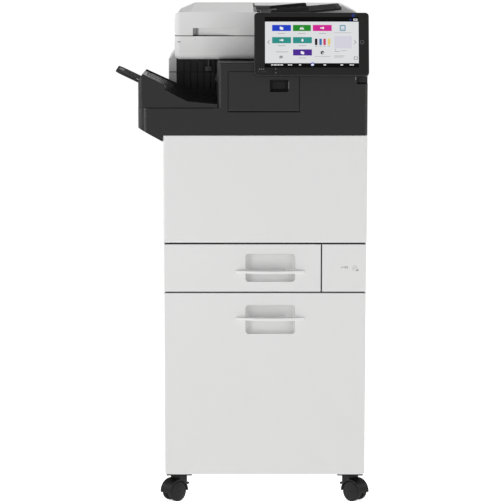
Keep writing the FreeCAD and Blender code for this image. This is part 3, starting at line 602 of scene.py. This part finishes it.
panelSet = {
    "tilt": 16,
    "screenBottom": 20.0,       # from the panel's foot, along its face
    "screenTop": 144.0,
    "tiles": [                  # X, height, ink, glyph
        ((16, 61.4), (109.3, 124.3), "blue", "sheets"),
        ((66.2, 109.2), (109.3, 124.3), "green", "frame"),
        ((114, 159.4), (109.3, 124.3), "pink", "arrow"),
        ((16, 61.4), (79.4, 94.4), "teal", "arrow"),
        ((66.2, 111.6), (79.4, 94.4), "teal", "drop"),
        ((66.2, 111.6), (49.4, 64.4), "purple", "sheets"),
    ],
    "inkBars": [(118.8, "black"), (129.5, "cyan"), (139.1, "red"), (149.9, "yellow")],
    "captions": [
        ((165, 206), (104.6, 105.4), 0.2), ((165, 178), (58.5, 59.7), 0.3), ((181, 195.3), (60.5, 61.5), 0.3),
        ((165, 190), (47.6, 48.8), 0.3), ((165, 186), (44.6, 45.4), 0.3), ((24.5, 55), (57.6, 58.8), 0.3),
        ((118, 156), (46.8, 47.6), 0.3),
    ],
    "strokes": [                # X, height, corner, turn
        ((167.5, 169.5), (63, 65), 0.6, 0),
        ((33, 42), (43.6, 44.6), 0.2, 0), ((33, 42), (46.8, 47.8), 0.2, 0),
        ((35, 36.2), (42, 49.4), 0.2, 12), ((38.6, 39.8), (42, 49.4), 0.2, 12),
    ],
    "pageArrows": {"places": ((7.6, 1), (215.6, -1)), "height": 81.9, "rise": 2.2, "long": 3.3, "half": 0.5},
    "navMarks": [(13.6, 42.3), (54, 64), (80.5, 85.5), (139.5, 145.5), (180, 186.5), (202, 212)],
    "navNotches": (19, 27, 34, 58, 207),
    "homeX": 112.8,
    "layers": {"page": -0.10, "ink": -0.2, "tile": -0.25, "over": -0.35, "sign": -0.40},
}


def screenFoot(setup):
    # the panel's lower front edge, worked out from the tilted glass
    low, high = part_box("touch_screen")
    lean = math.radians(setup["tilt"])
    y = low[1] / mm - setup["screenBottom"] * math.sin(lean)
    z = high[2] / mm - setup["screenTop"] * math.cos(lean)
    return (0, y, z)


def glyph(kind, x, z, front):
    # small white signs, centred on a tile
    if kind == "sheets":
        shapes = [plate((x - 4.2, x + 0.8), (z - 3.4, z + 3.0), front, corner=0.5)]
        shapes.append(plate((x - 1.2, x + 4.0), (z - 4.6, z + 1.6), front - 0.15, corner=0.5))
        return shapes
    if kind == "frame":
        shapes = [plate((x - 5, x + 5), (z - 3.6, z - 0.6), front, corner=0.6)]
        shapes.append(plate((x - 4.4, x + 3.2), (z + 0.6, z + 1.8), front, corner=0.4, turn=-14))
        return shapes
    if kind == "arrow":
        shapes = [plate((x - 5, x + 1), (z - 1.3, z + 1.3), front, corner=0.3)]
        shapes.append(plate((x - 0.6, x + 4.2), (z - 2.4, z + 2.4), front, corner=0.3, turn=45))
        return shapes
    shapes = [disc(2.6, (x, front, z - 1.0), 0.2, sides=24)]
    shapes.append(plate((x - 1.7, x + 1.7), (z - 0.4, z + 3.0), front, corner=0.2, turn=45))
    return shapes


def arrowStrokes(arrows, layer):
    # two strokes make each page arrow
    strokes = []
    long, half = arrows["long"], arrows["half"]
    for x, lean in arrows["places"]:
        for rise in (-1, 1):
            z = arrows["height"] + rise * arrows["rise"]
            stroke = plate((x - long, x + long), (z - half, z + half), layer["ink"], corner=0.2)
            only(stroke)
            bpy.ops.object.mode_set(mode="EDIT")
            bpy.ops.mesh.select_all(action="SELECT")
            angle = math.radians(45 * lean * rise)
            centre = scaled((x, layer["ink"], z))
            bpy.ops.transform.rotate(value=angle, orient_axis="Y", center_override=centre)
            bpy.ops.object.mode_set(mode="OBJECT")
            strokes.append(stroke)
    return strokes


def makeScreen(setup):
    ink = {name: [] for name in inks}
    layer = setup["layers"]
    ink["page"].append(plate((-1, 224), (30.7, 132.3), layer["page"], corner=0.3))
    for x, z, colour, sign in setup["tiles"]:
        ink[colour].append(plate(x, z, layer["tile"], corner=1.0))
        middle = ((x[0] + x[1]) / 2, (z[0] + z[1]) / 2)
        ink["white"] += glyph(sign, *middle, layer["sign"])
        across, below = (middle[0] - 9, middle[0] + 9), (z[0] - 6.6, z[0] - 5.4)
        ink["line"].append(plate(across, below, layer["ink"], corner=0.3))
    for x, colour in setup["inkBars"]:
        ink[colour].append(plate((x, x + 6), (75, 90.6), layer["tile"], corner=1.2))
        ink["line"].append(plate((x, x + 6), (71.6, 72.8), layer["ink"], corner=0.3))

    # right-hand cards: settings, a blank card and the job list
    ink["sky"].append(plate((178.6, 192.9), (109.3, 124.3), layer["tile"], corner=1.5))
    ink["page"].append(plate((181.5, 190), (112.5, 121.0), layer["sign"], corner=0.6))
    ink["sky"].append(plate((183.5, 188), (114.5, 116.0), -0.55, corner=0.3))
    ink["shade"].append(plate((165.4, 207.3), (66.9, 96.9), layer["ink"], corner=1.0))
    ink["line"] += [plate(x, z, layer["ink"], corner=corner) for x, z, corner in setup["captions"]]
    for x, z, corner, turn in setup["strokes"]:
        ink["ink"].append(plate(x, z, layer["ink"], corner=corner, turn=turn))
    ink["ink"].append(disc(4.4, (136.7, layer["ink"], 56.4), 0.2, sides=28))
    ink["page"].append(disc(1.9, (138.4, layer["sign"], 55.2), 0.2, sides=20))

    # page arrows at both sides and the help sign
    ink["ink"] += arrowStrokes(setup["pageArrows"], layer)
    ink["ink"].append(plate((212.4, 221.2), (39.6, 46.8), layer["ink"], corner=1.2))
    ink["page"].append(plate((213.4, 220.2), (40.6, 45.8), layer["over"], corner=0.8))

    # status bar at the top and the key bar at the bottom
    ink["white"].append(plate((211.5, 221.5), (134.8, 139.6), layer["ink"], corner=1.6))
    ink["black"].append(plate((213.5, 219.5), (136.2, 138.2), layer["over"], corner=0.6))
    ink["glow"].append(plate((203, 206), (136, 138.6), layer["ink"], corner=0.8))
    for low, high in setup["navMarks"]:
        ink["white"].append(plate((low, high), (25.2, 27.6), layer["ink"], corner=0.7))
    for x in setup["navNotches"]:
        ink["black"].append(plate((x, x + 1.4), (24.9, 27.9), layer["over"], corner=0.2))
    home = setup["homeX"]
    ink["glow"].append(disc(4.6, (home, -0.12, 28.0), 0.1, sides=36))
    ink["white"].append(plate((home - 3.4, home + 3.4), (24.6, 27.6), -0.3, corner=0.6))
    ink["white"].append(plate((home - 2, home + 2), (25.6, 29.6), -0.3, corner=0.2, turn=45))

    # ring for the home key, reader sign and lamps on the frame around the glass
    ink["mark"].append(ring(4.2, 0.42, (232.4, -0.05, 82)))
    ink["mark"] += [disc(1.3, (24.8, -0.1, z), 0.3) for z in (16.3, 7.3)]
    ink["mark"] += [plate((x, x + 2.6), (14.6, 17.4), -0.1, corner=0.5) for x in (-16, -11, -6)]
    ink["mark"] += [plate((x, x + 1.2), (9.0, 10.2), -0.1, corner=0.4) for x in (-17, -8, -4, 0)]
    ink["glow"] += [ring(r, 0.35, (211.5, -0.05, 147.6)) for r in (1.6, 3.6)]

    shapes = []
    for name, made in ink.items():
        shapes += [paint(shape, inks[name]) for shape in made]
    turned(shapes, -setup["tilt"], screenFoot(setup), "X")
    gather("screen_page", shapes, "operation_panel")
    print("screen drawn with", len(shapes), "shapes")


makeScreen(panelSet)


# Castor wheels: treads with grooves, dished sides and axle caps.

casterSet = {
    "stems": {"front_left": 43.8, "front_right": 136.2, "rear_left": -50.0, "rear_right": 215.0},
    "radius": 25.0,
    "trail": 18.0,
    "plate": 64.0,
    "axle": 2.9,
    "hub": 19.0,
    "sides": ((-17.0, -7.5), (7.5, 17.0)),
    "groove": 0.7,
}


def casterWheel(setup):
    # one wheel pair about its axle, with the swivel's stem on the Z axis
    x, z = -setup["trail"], setup["radius"]
    treads = []
    hubs = []
    for low, high in setup["sides"]:
        width = (high - low - 2 * setup["groove"]) / 3
        for step in range(3):
            middle = low + width / 2 + step * (width + setup["groove"])
            edge = 1.1 if step != 1 else 0.4
            treads.append(disc(setup["radius"], (x, middle, z), width, rim=edge, sides=64))
        treads.append(disc(setup["radius"] - 1.0, (x, (low + high) / 2, z), high - low - 2, sides=64))
        outer = -1 if low < 0 else 1
        face = low + 0.9 if low < 0 else high - 0.9
        hub = disc(setup["hub"], (x, face, z), 1.6, rim=0.3, sides=48)
        steps = [(2.0, 0), (0.6, -0.5), (8.5, 0), (0.6, 0.5)]
        dish(hub, lambda f: f.normal.y * outer > 0.95 and f.area > 1e-4, steps)
        hubs.append(hub)
        hubs.append(disc(3.4, (x, face + 0.3 * outer, z), 1.6, rim=0.3, sides=24))
    axle = disc(setup["axle"], (x, 0, z), 30, sides=24)
    return treads, hubs, axle


def copyOf(piece):
    made = piece.copy()
    made.data = piece.data.copy()
    bpy.context.collection.objects.link(made)
    return made


def casterPlate(corner):
    # the swivel stem stands in the middle of its plate under the cabinet
    low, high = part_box("caster_brackets")
    half = casterSet["plate"] / 2
    x = high[0] / mm - half if corner.endswith("right") else low[0] / mm + half
    y = low[1] / mm + half if corner.startswith("front") else high[1] / mm - half
    return (x, y, 0)


def makeCasters(setup):
    treads, hubs, axle = casterWheel(setup)
    for shape in treads:
        paint(shape, finishes["caster_tyre"])
    for shape in hubs:
        paint(shape, finishes["caster_black"])
    paint(axle, finishes["sheet_steel"])
    parts = treads + hubs + [axle]
    only(*parts)
    bpy.ops.object.join()
    pattern = bpy.context.object
    for corner, angle in setup["stems"].items():
        bracket = casterPlate(corner)
        wheel = copyOf(pattern)
        turned([wheel], angle, bracket)
        gather(f"castor_wheel_{corner}", [wheel], f"wheels_{corner}")
        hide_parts(f"caster_wheels_{corner}")
    bpy.data.objects.remove(pattern)
    print("castors made")


makeCasters(casterSet)


# Foam strips that close the seams between the fronts, under the lid and in the pillar's groove, near black so
# the gaps read dark: painted shade.

seamShadeSet = {
    "inset": 1.6,               # how far the foam stands behind the fronts
    "depth": 12.0,
    "thick": 1.1,
    "ends": 3.0,
    "rim": 0.3,
    "lid": {
        "outer": 1.2,           # behind the lid's faces
        "inner": 4.0,
        "sideGap": 9.0,
        "frontGap": 12.0,
        "back": 250.0,
        "aboveGlass": 0.4,
        "rim": 0.2,
    },
    "pillar": {
        "left": -243.8, "leftInner": -242.2, "right": -226.0,
        "front": 63.0, "frontInner": 65.2, "back": 276.0,
    },
    "pillarGroove": (1049.1, 1051.1),
}


def makeSeamShades(setup):
    # each strip fills a gap that is only in shade with near-black foam: painted shade
    drawerX, drawerY, drawerZ = span("drawer_front")
    trayX, _, trayZ = span("tray_front")
    sideX, _, sideZ = span("tray_side_cover")
    start = drawerY[0] + setup["inset"]
    end = start + setup["depth"]
    thick, ends, rim = setup["thick"], setup["ends"], setup["rim"]
    drawerLow = (drawerX[0] + ends, start, drawerZ[1])
    drawerSeamShade = block(drawerLow, (drawerX[1] - ends, end, drawerZ[1] + thick), rim)
    gather("drawer_seam_shade", [drawerSeamShade], "storage_drawer", extras["foam"])
    traySeamShade = [
        block((trayX[0] + ends, start, trayZ[1]), (trayX[1], end, trayZ[1] + thick), rim),
        block((trayX[1], start, trayZ[0]), (trayX[1] + thick, end, trayZ[1] + thick), rim),
    ]
    gather("tray_seam_shade", traySeamShade, "paper_tray", extras["foam"])
    sideSeamShade = block((sideX[0], start, sideZ[1]), (sideX[1] - ends, end, sideZ[1] + thick), rim)
    gather("side_seam_shade", [sideSeamShade], "root", extras["foam"])
    makeLidSeamShade(setup["lid"])
    makePillarSeamShade(setup["pillar"], setup["pillarGroove"])
    print("seams sealed")


def makeLidSeamShade(lid):
    # near-black strips under the lid's rim draw a dark line along its foot: painted shade
    lidX, lidY, lidZ = span("adf_base")
    low, high = span("platen_glass")[2][1] + lid["aboveGlass"], lidZ[0]
    outer, inner, rim = lid["outer"], lid["inner"], lid["rim"]
    sideStart = lidY[0] + lid["frontGap"]
    shapes = [
        block(
            (lidX[0] + lid["sideGap"], lidY[0] + outer, low),
            (lidX[1] - lid["sideGap"], lidY[0] + inner, high), rim,
        ),
        block((lidX[0] + outer, sideStart, low), (lidX[0] + inner, lid["back"], high), rim),
        block((lidX[1] - inner, sideStart, low), (lidX[1] - outer, lid["back"], high), rim),
    ]
    gather("lid_seam_shade", shapes, "feeder_lid", extras["foam"])


def makePillarSeamShade(pillar, groove):
    # a near-black strip in the pillar's groove: painted shade
    low, high = groove
    corner = (pillar["left"], pillar["front"], low)
    shapes = [
        block(corner, (pillar["right"], pillar["frontInner"], high), 0.1),
        block(corner, (pillar["leftInner"], pillar["back"], high), 0.1),
    ]
    gather("pillar_seam_shade", shapes, "root", extras["foam"])


makeSeamShades(seamShadeSet)


# Feeder: the grey throat where sheets go in, ribs and grips on the document tray.

feederSet = {
    "left": -27.0,
    "deck": 1196.4,
    "wall": {"right": 51.0, "y": (98.5, 105.6), "top": 1217.4, "rim": 2.0},
    "combs": {"y": range(-176, 96, 17), "wide": 3.0, "long": 6.5, "top": 1214.0},
    "sill": {"y": (-186.0, 98.0), "z": (1213.0, 1214.4), "long": 6.6},
    "slope": 5.2,
    "trayHinge": (-15.0, 0, 1203.0),
    "lip": {"x": (4.0, 47.0), "y": (-136.0, 86.0), "z": (3.05, 4.3)},
    "lipRidges": {"x": (6.0, 45.0), "y": range(-130, 84, 12), "z": (4.2, 5.0), "wide": 1.6},
    "ribs": {"x": (50.0, 196.0), "y": (-112.0, -70.0, -25.0, 20.0, 62.0), "z": (3.0, 3.9), "half": 0.8},
    "grips": {"x": range(58, 98, 4), "front": -133.9, "rear": 83.5, "z": (6.0, 10.5)},
    "lever": {"x": (0.5, 5.5), "y": (-40.0, 20.0), "z": (1199.5, 1204.5), "rim": 1.4},
}


def tilted(shapes, setup):
    # from level to the document tray's slope
    return turned(shapes, -setup["slope"], setup["trayHinge"], "Y")


def makeThroat(setup):
    left, deck = setup["left"], setup["deck"]
    wall, combs, sill = setup["wall"], setup["combs"], setup["sill"]
    shapes = [block((left, wall["y"][0], deck), (wall["right"], wall["y"][1], wall["top"]), wall["rim"], 4)]
    sillEnd = (left + sill["long"], sill["y"][1], sill["z"][1])
    shapes.append(block((left, sill["y"][0], sill["z"][0]), sillEnd, 0.4))
    for y in combs["y"]:
        shapes.append(block((left, y, deck), (left + combs["long"], y + combs["wide"], combs["top"]), 0.8))
    gather("feeder_throat", shapes, "feeder_lid", extras["throat"])

    lip, ridges = setup["lip"], setup["lipRidges"]
    shapes = [block((lip["x"][0], lip["y"][0], lip["z"][0]), (lip["x"][1], lip["y"][1], lip["z"][1]), 0.5)]
    for y in ridges["y"]:
        low = (ridges["x"][0], y, ridges["z"][0])
        high = (ridges["x"][1], y + ridges["wide"], ridges["z"][1])
        shapes.append(block(low, high, 0.3))
    gather("tray_throat", tilted(shapes, setup), "document_deck", extras["throat"])


def makeTrayRibs(setup):
    ribs, grips = setup["ribs"], setup["grips"]
    dull = finishes["dull_plastic"]
    shapes = []
    for y in ribs["y"]:
        low = (ribs["x"][0], y - ribs["half"], ribs["z"][0])
        high = (ribs["x"][1], y + ribs["half"], ribs["z"][1])
        shapes.append(block(low, high, 0.3))
    gather("document_ribs", tilted(shapes, setup), "document_deck", dull)
    for side in ("front", "rear"):
        y = grips[side]
        shapes = [block((x, y, grips["z"][0]), (x + 1.0, y + 0.5, grips["z"][1]), 0.2) for x in grips["x"]]
        guide = f"document_guide_{side}"
        gather(f"guide_grips_{side}", tilted(shapes, setup), guide, dull)


def makeLever(lever):
    left = span("feed_cover")[0][0]
    low = (left + lever["x"][0], lever["y"][0], lever["z"][0])
    high = (left + lever["x"][1], lever["y"][1], lever["z"][1])
    shapes = [block(low, high, lever["rim"], 4)]
    gather("feeder_lever", shapes, "feeder_cover", extras["throat"])


def makeFeeder(setup):
    makeThroat(setup)
    makeTrayRibs(setup)
    makeLever(setup["lever"])
    print("feeder dressed")


makeFeeder(feederSet)


# Scanner: two small prints on the front and the white scale round the original glass.

scannerSet = {
    "dash": ((-214.5, -206.5), (1143.4, 1145.2)),
    "dot": ((-171.6, -170.2), (1149.2, 1150.4)),
    "scaleWide": 16.0,
    "scaleGap": 1.0,
    "margin": 12.0,
    "thick": 0.35,
    "tick": 0.3,                # half a tick's width
    "sideTicks": range(23),
    "backTicks": range(1, 36),
    "tickStep": 10.0,
}


def makeScanner(setup):
    front = span("scanner_tub")[1][0] - 0.15
    prints = [plate(*setup["dash"], front, 0.4, 0.6), plate(*setup["dot"], front, 0.4, 0.3)]
    gather("scanner_marks", prints, "root", extras["print"])

    glassX, glassY, glassZ = span("platen_glass")
    top = glassZ[1]
    gap, wide, margin = setup["scaleGap"], setup["scaleWide"], setup["margin"]
    left, back = glassX[0] - gap, glassY[1] + gap
    scale = [
        block((left - wide, glassY[0] - margin, top), (left, glassY[1] + margin, top + setup["thick"]), 0.15),
        block((left, back, top), (glassX[1] + margin / 2, glassY[1] + margin, top + setup["thick"]), 0.15),
    ]
    gather("original_scale", scale, "root", extras["brightPrintAndHighlight"])

    half, step = setup["tick"], setup["tickStep"]
    low, high = top + 0.3, top + 0.5
    ticks = []
    for count in setup["sideTicks"]:
        y = glassY[1] - count * step
        long = 7 if count % 5 else 11
        ticks.append(block((glassX[0] - long, y - half, low), (glassX[0] - 2, y + half, high)))
    for count in setup["backTicks"]:
        x = glassX[0] + count * step
        long = 6 if count % 5 else 10
        ticks.append(block((x - half, glassY[1] + 2, low), (x + half, glassY[1] + long, high)))
    gather("scale_ticks", ticks, "root", extras["latch"])
    print("scanner marked")


makeScanner(scannerSet)


# Delivery space: ribs, exit rollers and the full-stack flag, and ribs down the output tray, with a painted
# highlight on its flap.

deliverySet = {
    "wallRibs": {"x": (-207.0, -190.0, -173.0, -156.0, -139.0, -126.0), "z": (1006.0, 1099.0), "wide": 2.0},
    "wallSeam": {"x": (-222.0, -119.0), "z": (1049.4, 1050.8)},
    "flag": {"x": (-150.0, -134.0), "y": (38.0, 42.0), "z": (1054.5, 1066.0)},
    "flagArm": {"x": (-144.0, -140.0), "y": (40.0, 52.0), "z": (1064.0, 1085.0)},
    "exitX": -116.5,
    "exitZ": 1050.0,
    "rollers": {"y": (-170.0, -120.0, -60.0, -10.0), "radius": 6.0, "long": 16.0},
    "shaft": {"y": -90.0, "radius": 2.4, "long": 216.0},
    "guides": {"y": range(-190, 20, 30), "x": (-119.2, -115.7), "z": (1004.0, 1036.0), "wide": 2.0},
    "deck": [(-297.0, 1052.4), (-245.5, 1028.7), (-187.7, 1000.5), (-139.0, 996.1), (-118.0, 994.3)],
    "deckRibs": (-214.0, -170.0, -126.0, -82.0, -38.0, 6.0),
    "deckRib": {"half": 1.1, "thick": 1.3},
    "flapY": (-236.0, -94.0),
    "flapSlope": 25.5,
    "flapFoot": (-310.0, 0, 1047.0),
    "ridges": {"start": -56.0, "step": 3.2, "wide": 1.4, "count": 4, "y": (-190.0, -140.0), "z": (5.7, 6.6)},
    # a pale oval near the flap's right end: painted highlight
    "flapHighlight": {"x": (-9.0, 3.0), "y": (-228.0, -222.0), "z": (5.6, 6.25)},
}


def corners(box):
    # a box of X, Y and Z spans as its low and its high corner
    return [(box["x"][end], box["y"][end], box["z"][end]) for end in (0, 1)]


def makeCavity(setup):
    wallY = span("rear_housing")[1][0]
    ribs, seam = setup["wallRibs"], setup["wallSeam"]
    shapes = []
    for x in ribs["x"]:
        low, high = (x, wallY - 1.6, ribs["z"][0]), (x + ribs["wide"], wallY + 0.4, ribs["z"][1])
        shapes.append(block(low, high, 0.5))
    low, high = (seam["x"][0], wallY - 1.2, seam["z"][0]), (seam["x"][1], wallY + 0.3, seam["z"][1])
    shapes.append(block(low, high, 0.3))
    gather("delivery_ribs", shapes, "root", extras["cavity"])
    shapes = [block(*corners(setup["flag"]), 1.2, 3), block(*corners(setup["flagArm"]), 0.8)]
    gather("stack_flag", shapes, "root", extras["throat"])


def makeExit(setup):
    x, z = setup["exitX"], setup["exitZ"]
    rollers, shaft, guides = setup["rollers"], setup["shaft"], setup["guides"]
    shapes = [disc(rollers["radius"], (x, y, z), rollers["long"], "Y", 1.0, 28) for y in rollers["y"]]
    shapes.append(disc(shaft["radius"], (x, shaft["y"], z), shaft["long"], "Y", 0, 16))
    gather("exit_rollers", shapes, "root", finishes["roller_rubber"])
    shapes = []
    for y in guides["y"]:
        low = (guides["x"][0], y, guides["z"][0])
        high = (guides["x"][1], y + guides["wide"], guides["z"][1])
        shapes.append(block(low, high, 0.6))
    gather("exit_guides", shapes, "root", extras["cavity"])


def makeOutputTray(setup):
    charcoal = finishes["charcoal_plastic"]
    rib = setup["deckRib"]
    shapes = []
    for y in setup["deckRibs"]:
        # the flap lies in the deck's upper stretch, so ribs behind it start lower down
        besideFlap = setup["flapY"][0] < y < setup["flapY"][1]
        route = setup["deck"][1:] if besideFlap else setup["deck"]
        shapes.append(strip(route, (y - rib["half"], y + rib["half"]), rib["thick"]))
    gather("output_ribs", shapes, "root", charcoal)

    ridges = setup["ridges"]
    shapes = []
    for count in range(ridges["count"]):
        x = ridges["start"] + count * ridges["step"]
        low = (x, ridges["y"][0], ridges["z"][0])
        high = (x + ridges["wide"], ridges["y"][1], ridges["z"][1])
        shapes.append(block(low, high, 0.3))
    turned(shapes, setup["flapSlope"], setup["flapFoot"], "Y")
    gather("flap_ridges", shapes, "extension", charcoal)
    # a pale oval near the flap's right end: painted highlight
    flapHighlight = turned([block(*corners(setup["flapHighlight"]), 2.0, 4)], setup["flapSlope"], setup["flapFoot"], "Y")
    gather("flap_highlight", flapHighlight, "extension", extras["brightPrintAndHighlight"])


def makeDelivery(setup):
    makeCavity(setup)
    makeExit(setup)
    makeOutputTray(setup)
    print("delivery space done")


makeDelivery(deliverySet)


# Latch, key and small prints on the fronts; the staple recess is lined in near black for painted shade, with
# a painted highlight on its edge.

frontSet = {
    "recess": ((11.0, 56.0), (1028.0, 1058.0)),
    "recessDepth": 16.0,
    "paddleGap": 0.6,
    # thickness of the near-black sheets lining the recess: painted shade
    "shadeSheet": 1.1,
    "edgeHighlight": {"x": (0.2, 1.6), "z": (8.0, -5.0)},   # painted highlight strip, set from the recess's right edge, floor and top
    "keyRing": 3.0,
    "lamp": ((218.4, 220.2), (1057, 1065)),
    "trayBars": [
        ((195.2, 198.4), (594.6, 600.2)), ((199.8, 203.0), (594.6, 600.2)),
        ((186, 193.5), (596.4, 598.4)),
    ],
    "sheetRing": (220.4, 595.4, 5.6),
    "sheetTab": ((224, 229.4), (587.6, 592.4)),
    "sheetStroke": ((217, 223), (594.8, 596.0)),
}


def makeLatch(setup, front):
    (left, right), (low, high) = setup["recess"]
    floor = front + setup["recessDepth"]
    gap, start, end = setup["paddleGap"], front + 1.5, floor - 4
    # a latch paddle in near black that also stands for the recess's shade: painted shade
    shadePaddle = block((left + gap, floor - 5, low + gap), (right - gap, floor - 0.2, high - gap), 1.2, 3)
    dish(shadePaddle, lambda f: f.normal.y < -0.95 and f.area > 1e-4, [(3.0, 0), (1.5, -1.6)])
    # near-black sheets along the recess walls: painted shade
    edge = 0.3
    inner = edge + setup["shadeSheet"]
    shadeSheets = [
        block((left + edge, start, high - inner), (right - edge, end, high - edge), edge),
        block((left + edge, start, low + edge), (left + inner, end, high - 1.2), edge),
        block((left + edge, start, low + edge), (right - edge, end, low + 1.2), edge),
        block((right - inner, start, low + edge), (right - edge, end, high - 1.2), edge),
    ]
    gather("staple_latch_shade", [shadePaddle] + shadeSheets, "staple_access", extras["latch"])
    # a pale strip on the recess's right edge: painted highlight
    (x0, x1), (z0, z1) = setup["edgeHighlight"]["x"], setup["edgeHighlight"]["z"]
    edgeHighlight = plate((right + x0, right + x1), (low + z0, high + z1), front - 0.12, 0.3, 0.6)
    gather("latch_edge_highlight", [edgeHighlight], "staple_access", extras["print"])


def makeFrontDetails(setup):
    front = span("drawer_front")[1][0]
    makeLatch(setup, front)
    keyX, keyY, keyZ = span("power_key")
    x, z = (keyX[0] + keyX[1]) / 2, (keyZ[0] + keyZ[1]) / 2
    stroke = plate((x - 0.4, x + 0.4), (z + 1.0, z + 4.2), keyY[0] - 0.25, 0.3, 0.2)
    sign = [ring(setup["keyRing"], 0.3, (x, keyY[0], z)), stroke]
    gather("power_sign", sign, "power_button", finishes["dull_plastic"])
    gather("power_lamp", [plate(*setup["lamp"], front - 0.12, 0.3, 0.7)], "root", inks["mark"])

    face = front - 0.12
    bars = setup["trayBars"]
    ringX, ringZ, radius = setup["sheetRing"]
    prints = [plate(*bar, face, 0.3, 0.6 if bar is not bars[2] else 0.5) for bar in bars]
    prints.append(ring(radius, 0.35, (ringX, front - 0.02, ringZ)))
    prints.append(plate(*setup["sheetTab"], face, 0.3, 0.7))
    prints.append(plate(*setup["sheetStroke"], face, 0.3, 0.3, -30))
    gather("tray_signs", prints, "root", extras["greyPrint"])
    print("front details done")


makeFrontDetails(frontSet)


# Back: screws, connectors and louvres.

rearSet = {
    "screwRadius": 3.4,
    "screwHeight": 0.9,
    "screws": [
        (-240, 668), (-240, 920), (-240, 720), (240, 668), (240, 1090), (240, 920), (0, 668), (120, 668),
        (-120, 1090), (60, 1090), (-218, 1090), (-120, 668), (242, 740), (-190, 920), (190, 920),
    ],
    "cabinetScrews": [(x, z) for x in (-238, 0, 238) for z in (90, 300, 520)],
    "panelRelief": 0.8,         # how far the cover's plate lies below its raised panels
    "jacks": (28.0, 66.0, 104.0),
    "contact": {"count": 8, "start": 4.0, "step": 1.6, "wide": 0.7, "y": (268.0, 276.0), "z": (725.0, 728.0)},
    "tongue": {"x": (7.0, 13.0), "y": (266.0, 274.0), "z": (731.0, 734.5)},
    "louvres": {
        "x": (-99.5, 149.5), "y": (272.5, 277.3), "z": range(960, 1010, 10),
        "drop": 0.8, "rise": 0.4,
    },
}


def screwHead(x, y, z, setup):
    # a pan head with a recess for the driver
    radius = setup["screwRadius"]
    head = disc(radius, (x, y, z), setup["screwHeight"], "Y", 0.3, 24)
    dish(head, lambda f: f.normal.y > 0.95 and f.area > 1e-6, [(radius * 0.45, 0), (radius * 0.1, -0.3)])
    return head


def makeRear(setup):
    skin = span("rear_cover")[1][1] - setup["panelRelief"] + 0.35
    cabinetBack = span("cabinet_shell")[1][1] + 0.45
    heads = [screwHead(x, skin, z, setup) for x, z in setup["screws"]]
    heads += [screwHead(x, cabinetBack, z, setup) for x, z in setup["cabinetScrews"]]
    gather("rear_screws", heads, "root", extras["screw"])

    contact, tongue, louvres = setup["contact"], setup["tongue"], setup["louvres"]
    shapes = []
    for jack in setup["jacks"]:
        for count in range(contact["count"]):
            x = jack + contact["start"] + count * contact["step"]
            low = (x, contact["y"][0], contact["z"][0])
            high = (x + contact["wide"], contact["y"][1], contact["z"][1])
            shapes.append(block(low, high, 0.1))
        moved = dict(tongue, x=[jack + x for x in tongue["x"]])
        shapes.append(block(*corners(moved), 0.4))
    gather("jack_contacts", shapes, "root", extras["screw"])
    shapes = []
    for z in louvres["z"]:
        slat = dict(louvres, z=(z - louvres["drop"], z + louvres["rise"]))
        shapes.append(block(*corners(slat), 0.2))
    gather("vent_louvres", shapes, "root", finishes["casing_light"])
    print("back done")


makeRear(rearSet)


# Right side: the bypass tray's latch and ribs, and the door's lever.

sideSet = {
    "latch": {"y": (-24, 4), "z": (889.2, 897.5), "depth": (3.4, 0.2), "rim": 0.8},
    "ribs": {"z": range(734, 884, 12), "y": ((-126, -60), (40, 106)), "wide": 1.6},
    "lever": {"x": (245.2, 248.7), "y": (-30, 10), "z": (905, 913.5)},
}


def makeRightSide(setup):
    face = span("bypass_tray")[0][1]
    latch, ribs = setup["latch"], setup["ribs"]
    low, high = ((face - depth, y, z) for depth, y, z in zip(latch["depth"], latch["y"], latch["z"]))
    gather("bypass_latch", [block(low, high, latch["rim"], 3)], "bypass", extras["throat"])
    shapes = []
    for z in ribs["z"]:
        for start, end in ribs["y"]:
            shapes.append(block((face - 0.3, start, z), (face + 0.15, end, z + ribs["wide"]), 0.1))
    gather("bypass_ribs", shapes, "bypass", finishes["casing_light"])
    lever = block(*corners(setup["lever"]), 0.7, 3)
    gather("door_lever", [lever], "jam_door", extras["throat"])
    print("right side done")


makeRightSide(sideSet)


# Inside the front cover: a coloured label on each toner bottle's tab.

tonerSet = {
    "inks": {
        "black": grey(0.006),
        "cyan": (0.01, 0.22, 0.55, 1),
        "red": (0.52, 0.02, 0.18, 1),
        "yellow": (0.72, 0.52, 0.03, 1),
    },
    "tabs": (-165.0, -85.0, -5.0, 75.0),
    "tabZ": (862.0, 898.0),
    "half": 4.2,
}


def tonerLabel(name, hue):
    finish = Finish("toner" + name.title())
    pale = tuple(min(1, value * 1.3 + 0.01) for value in hue[:3]) + (1,)
    finish.colour(finish.blend(finish.noise(60.0, 3.0), hue, pale))
    finish.roughness(0.35 + finish.noise(400.0) * 0.1)
    return finish.material


def makeTonerTabs(setup):
    tabY = span("toner_cartridges")[1][0] - 0.25
    labels = []
    for x, (name, hue) in zip(setup["tabs"], setup["inks"].items()):
        label = plate((x - setup["half"], x + setup["half"]), setup["tabZ"], tabY, 0.3, 1.2)
        labels.append(paint(label, tonerLabel(name, hue)))
    gather("toner_labels", labels, "root")
    print("toner labels done")


makeTonerTabs(tonerSet)
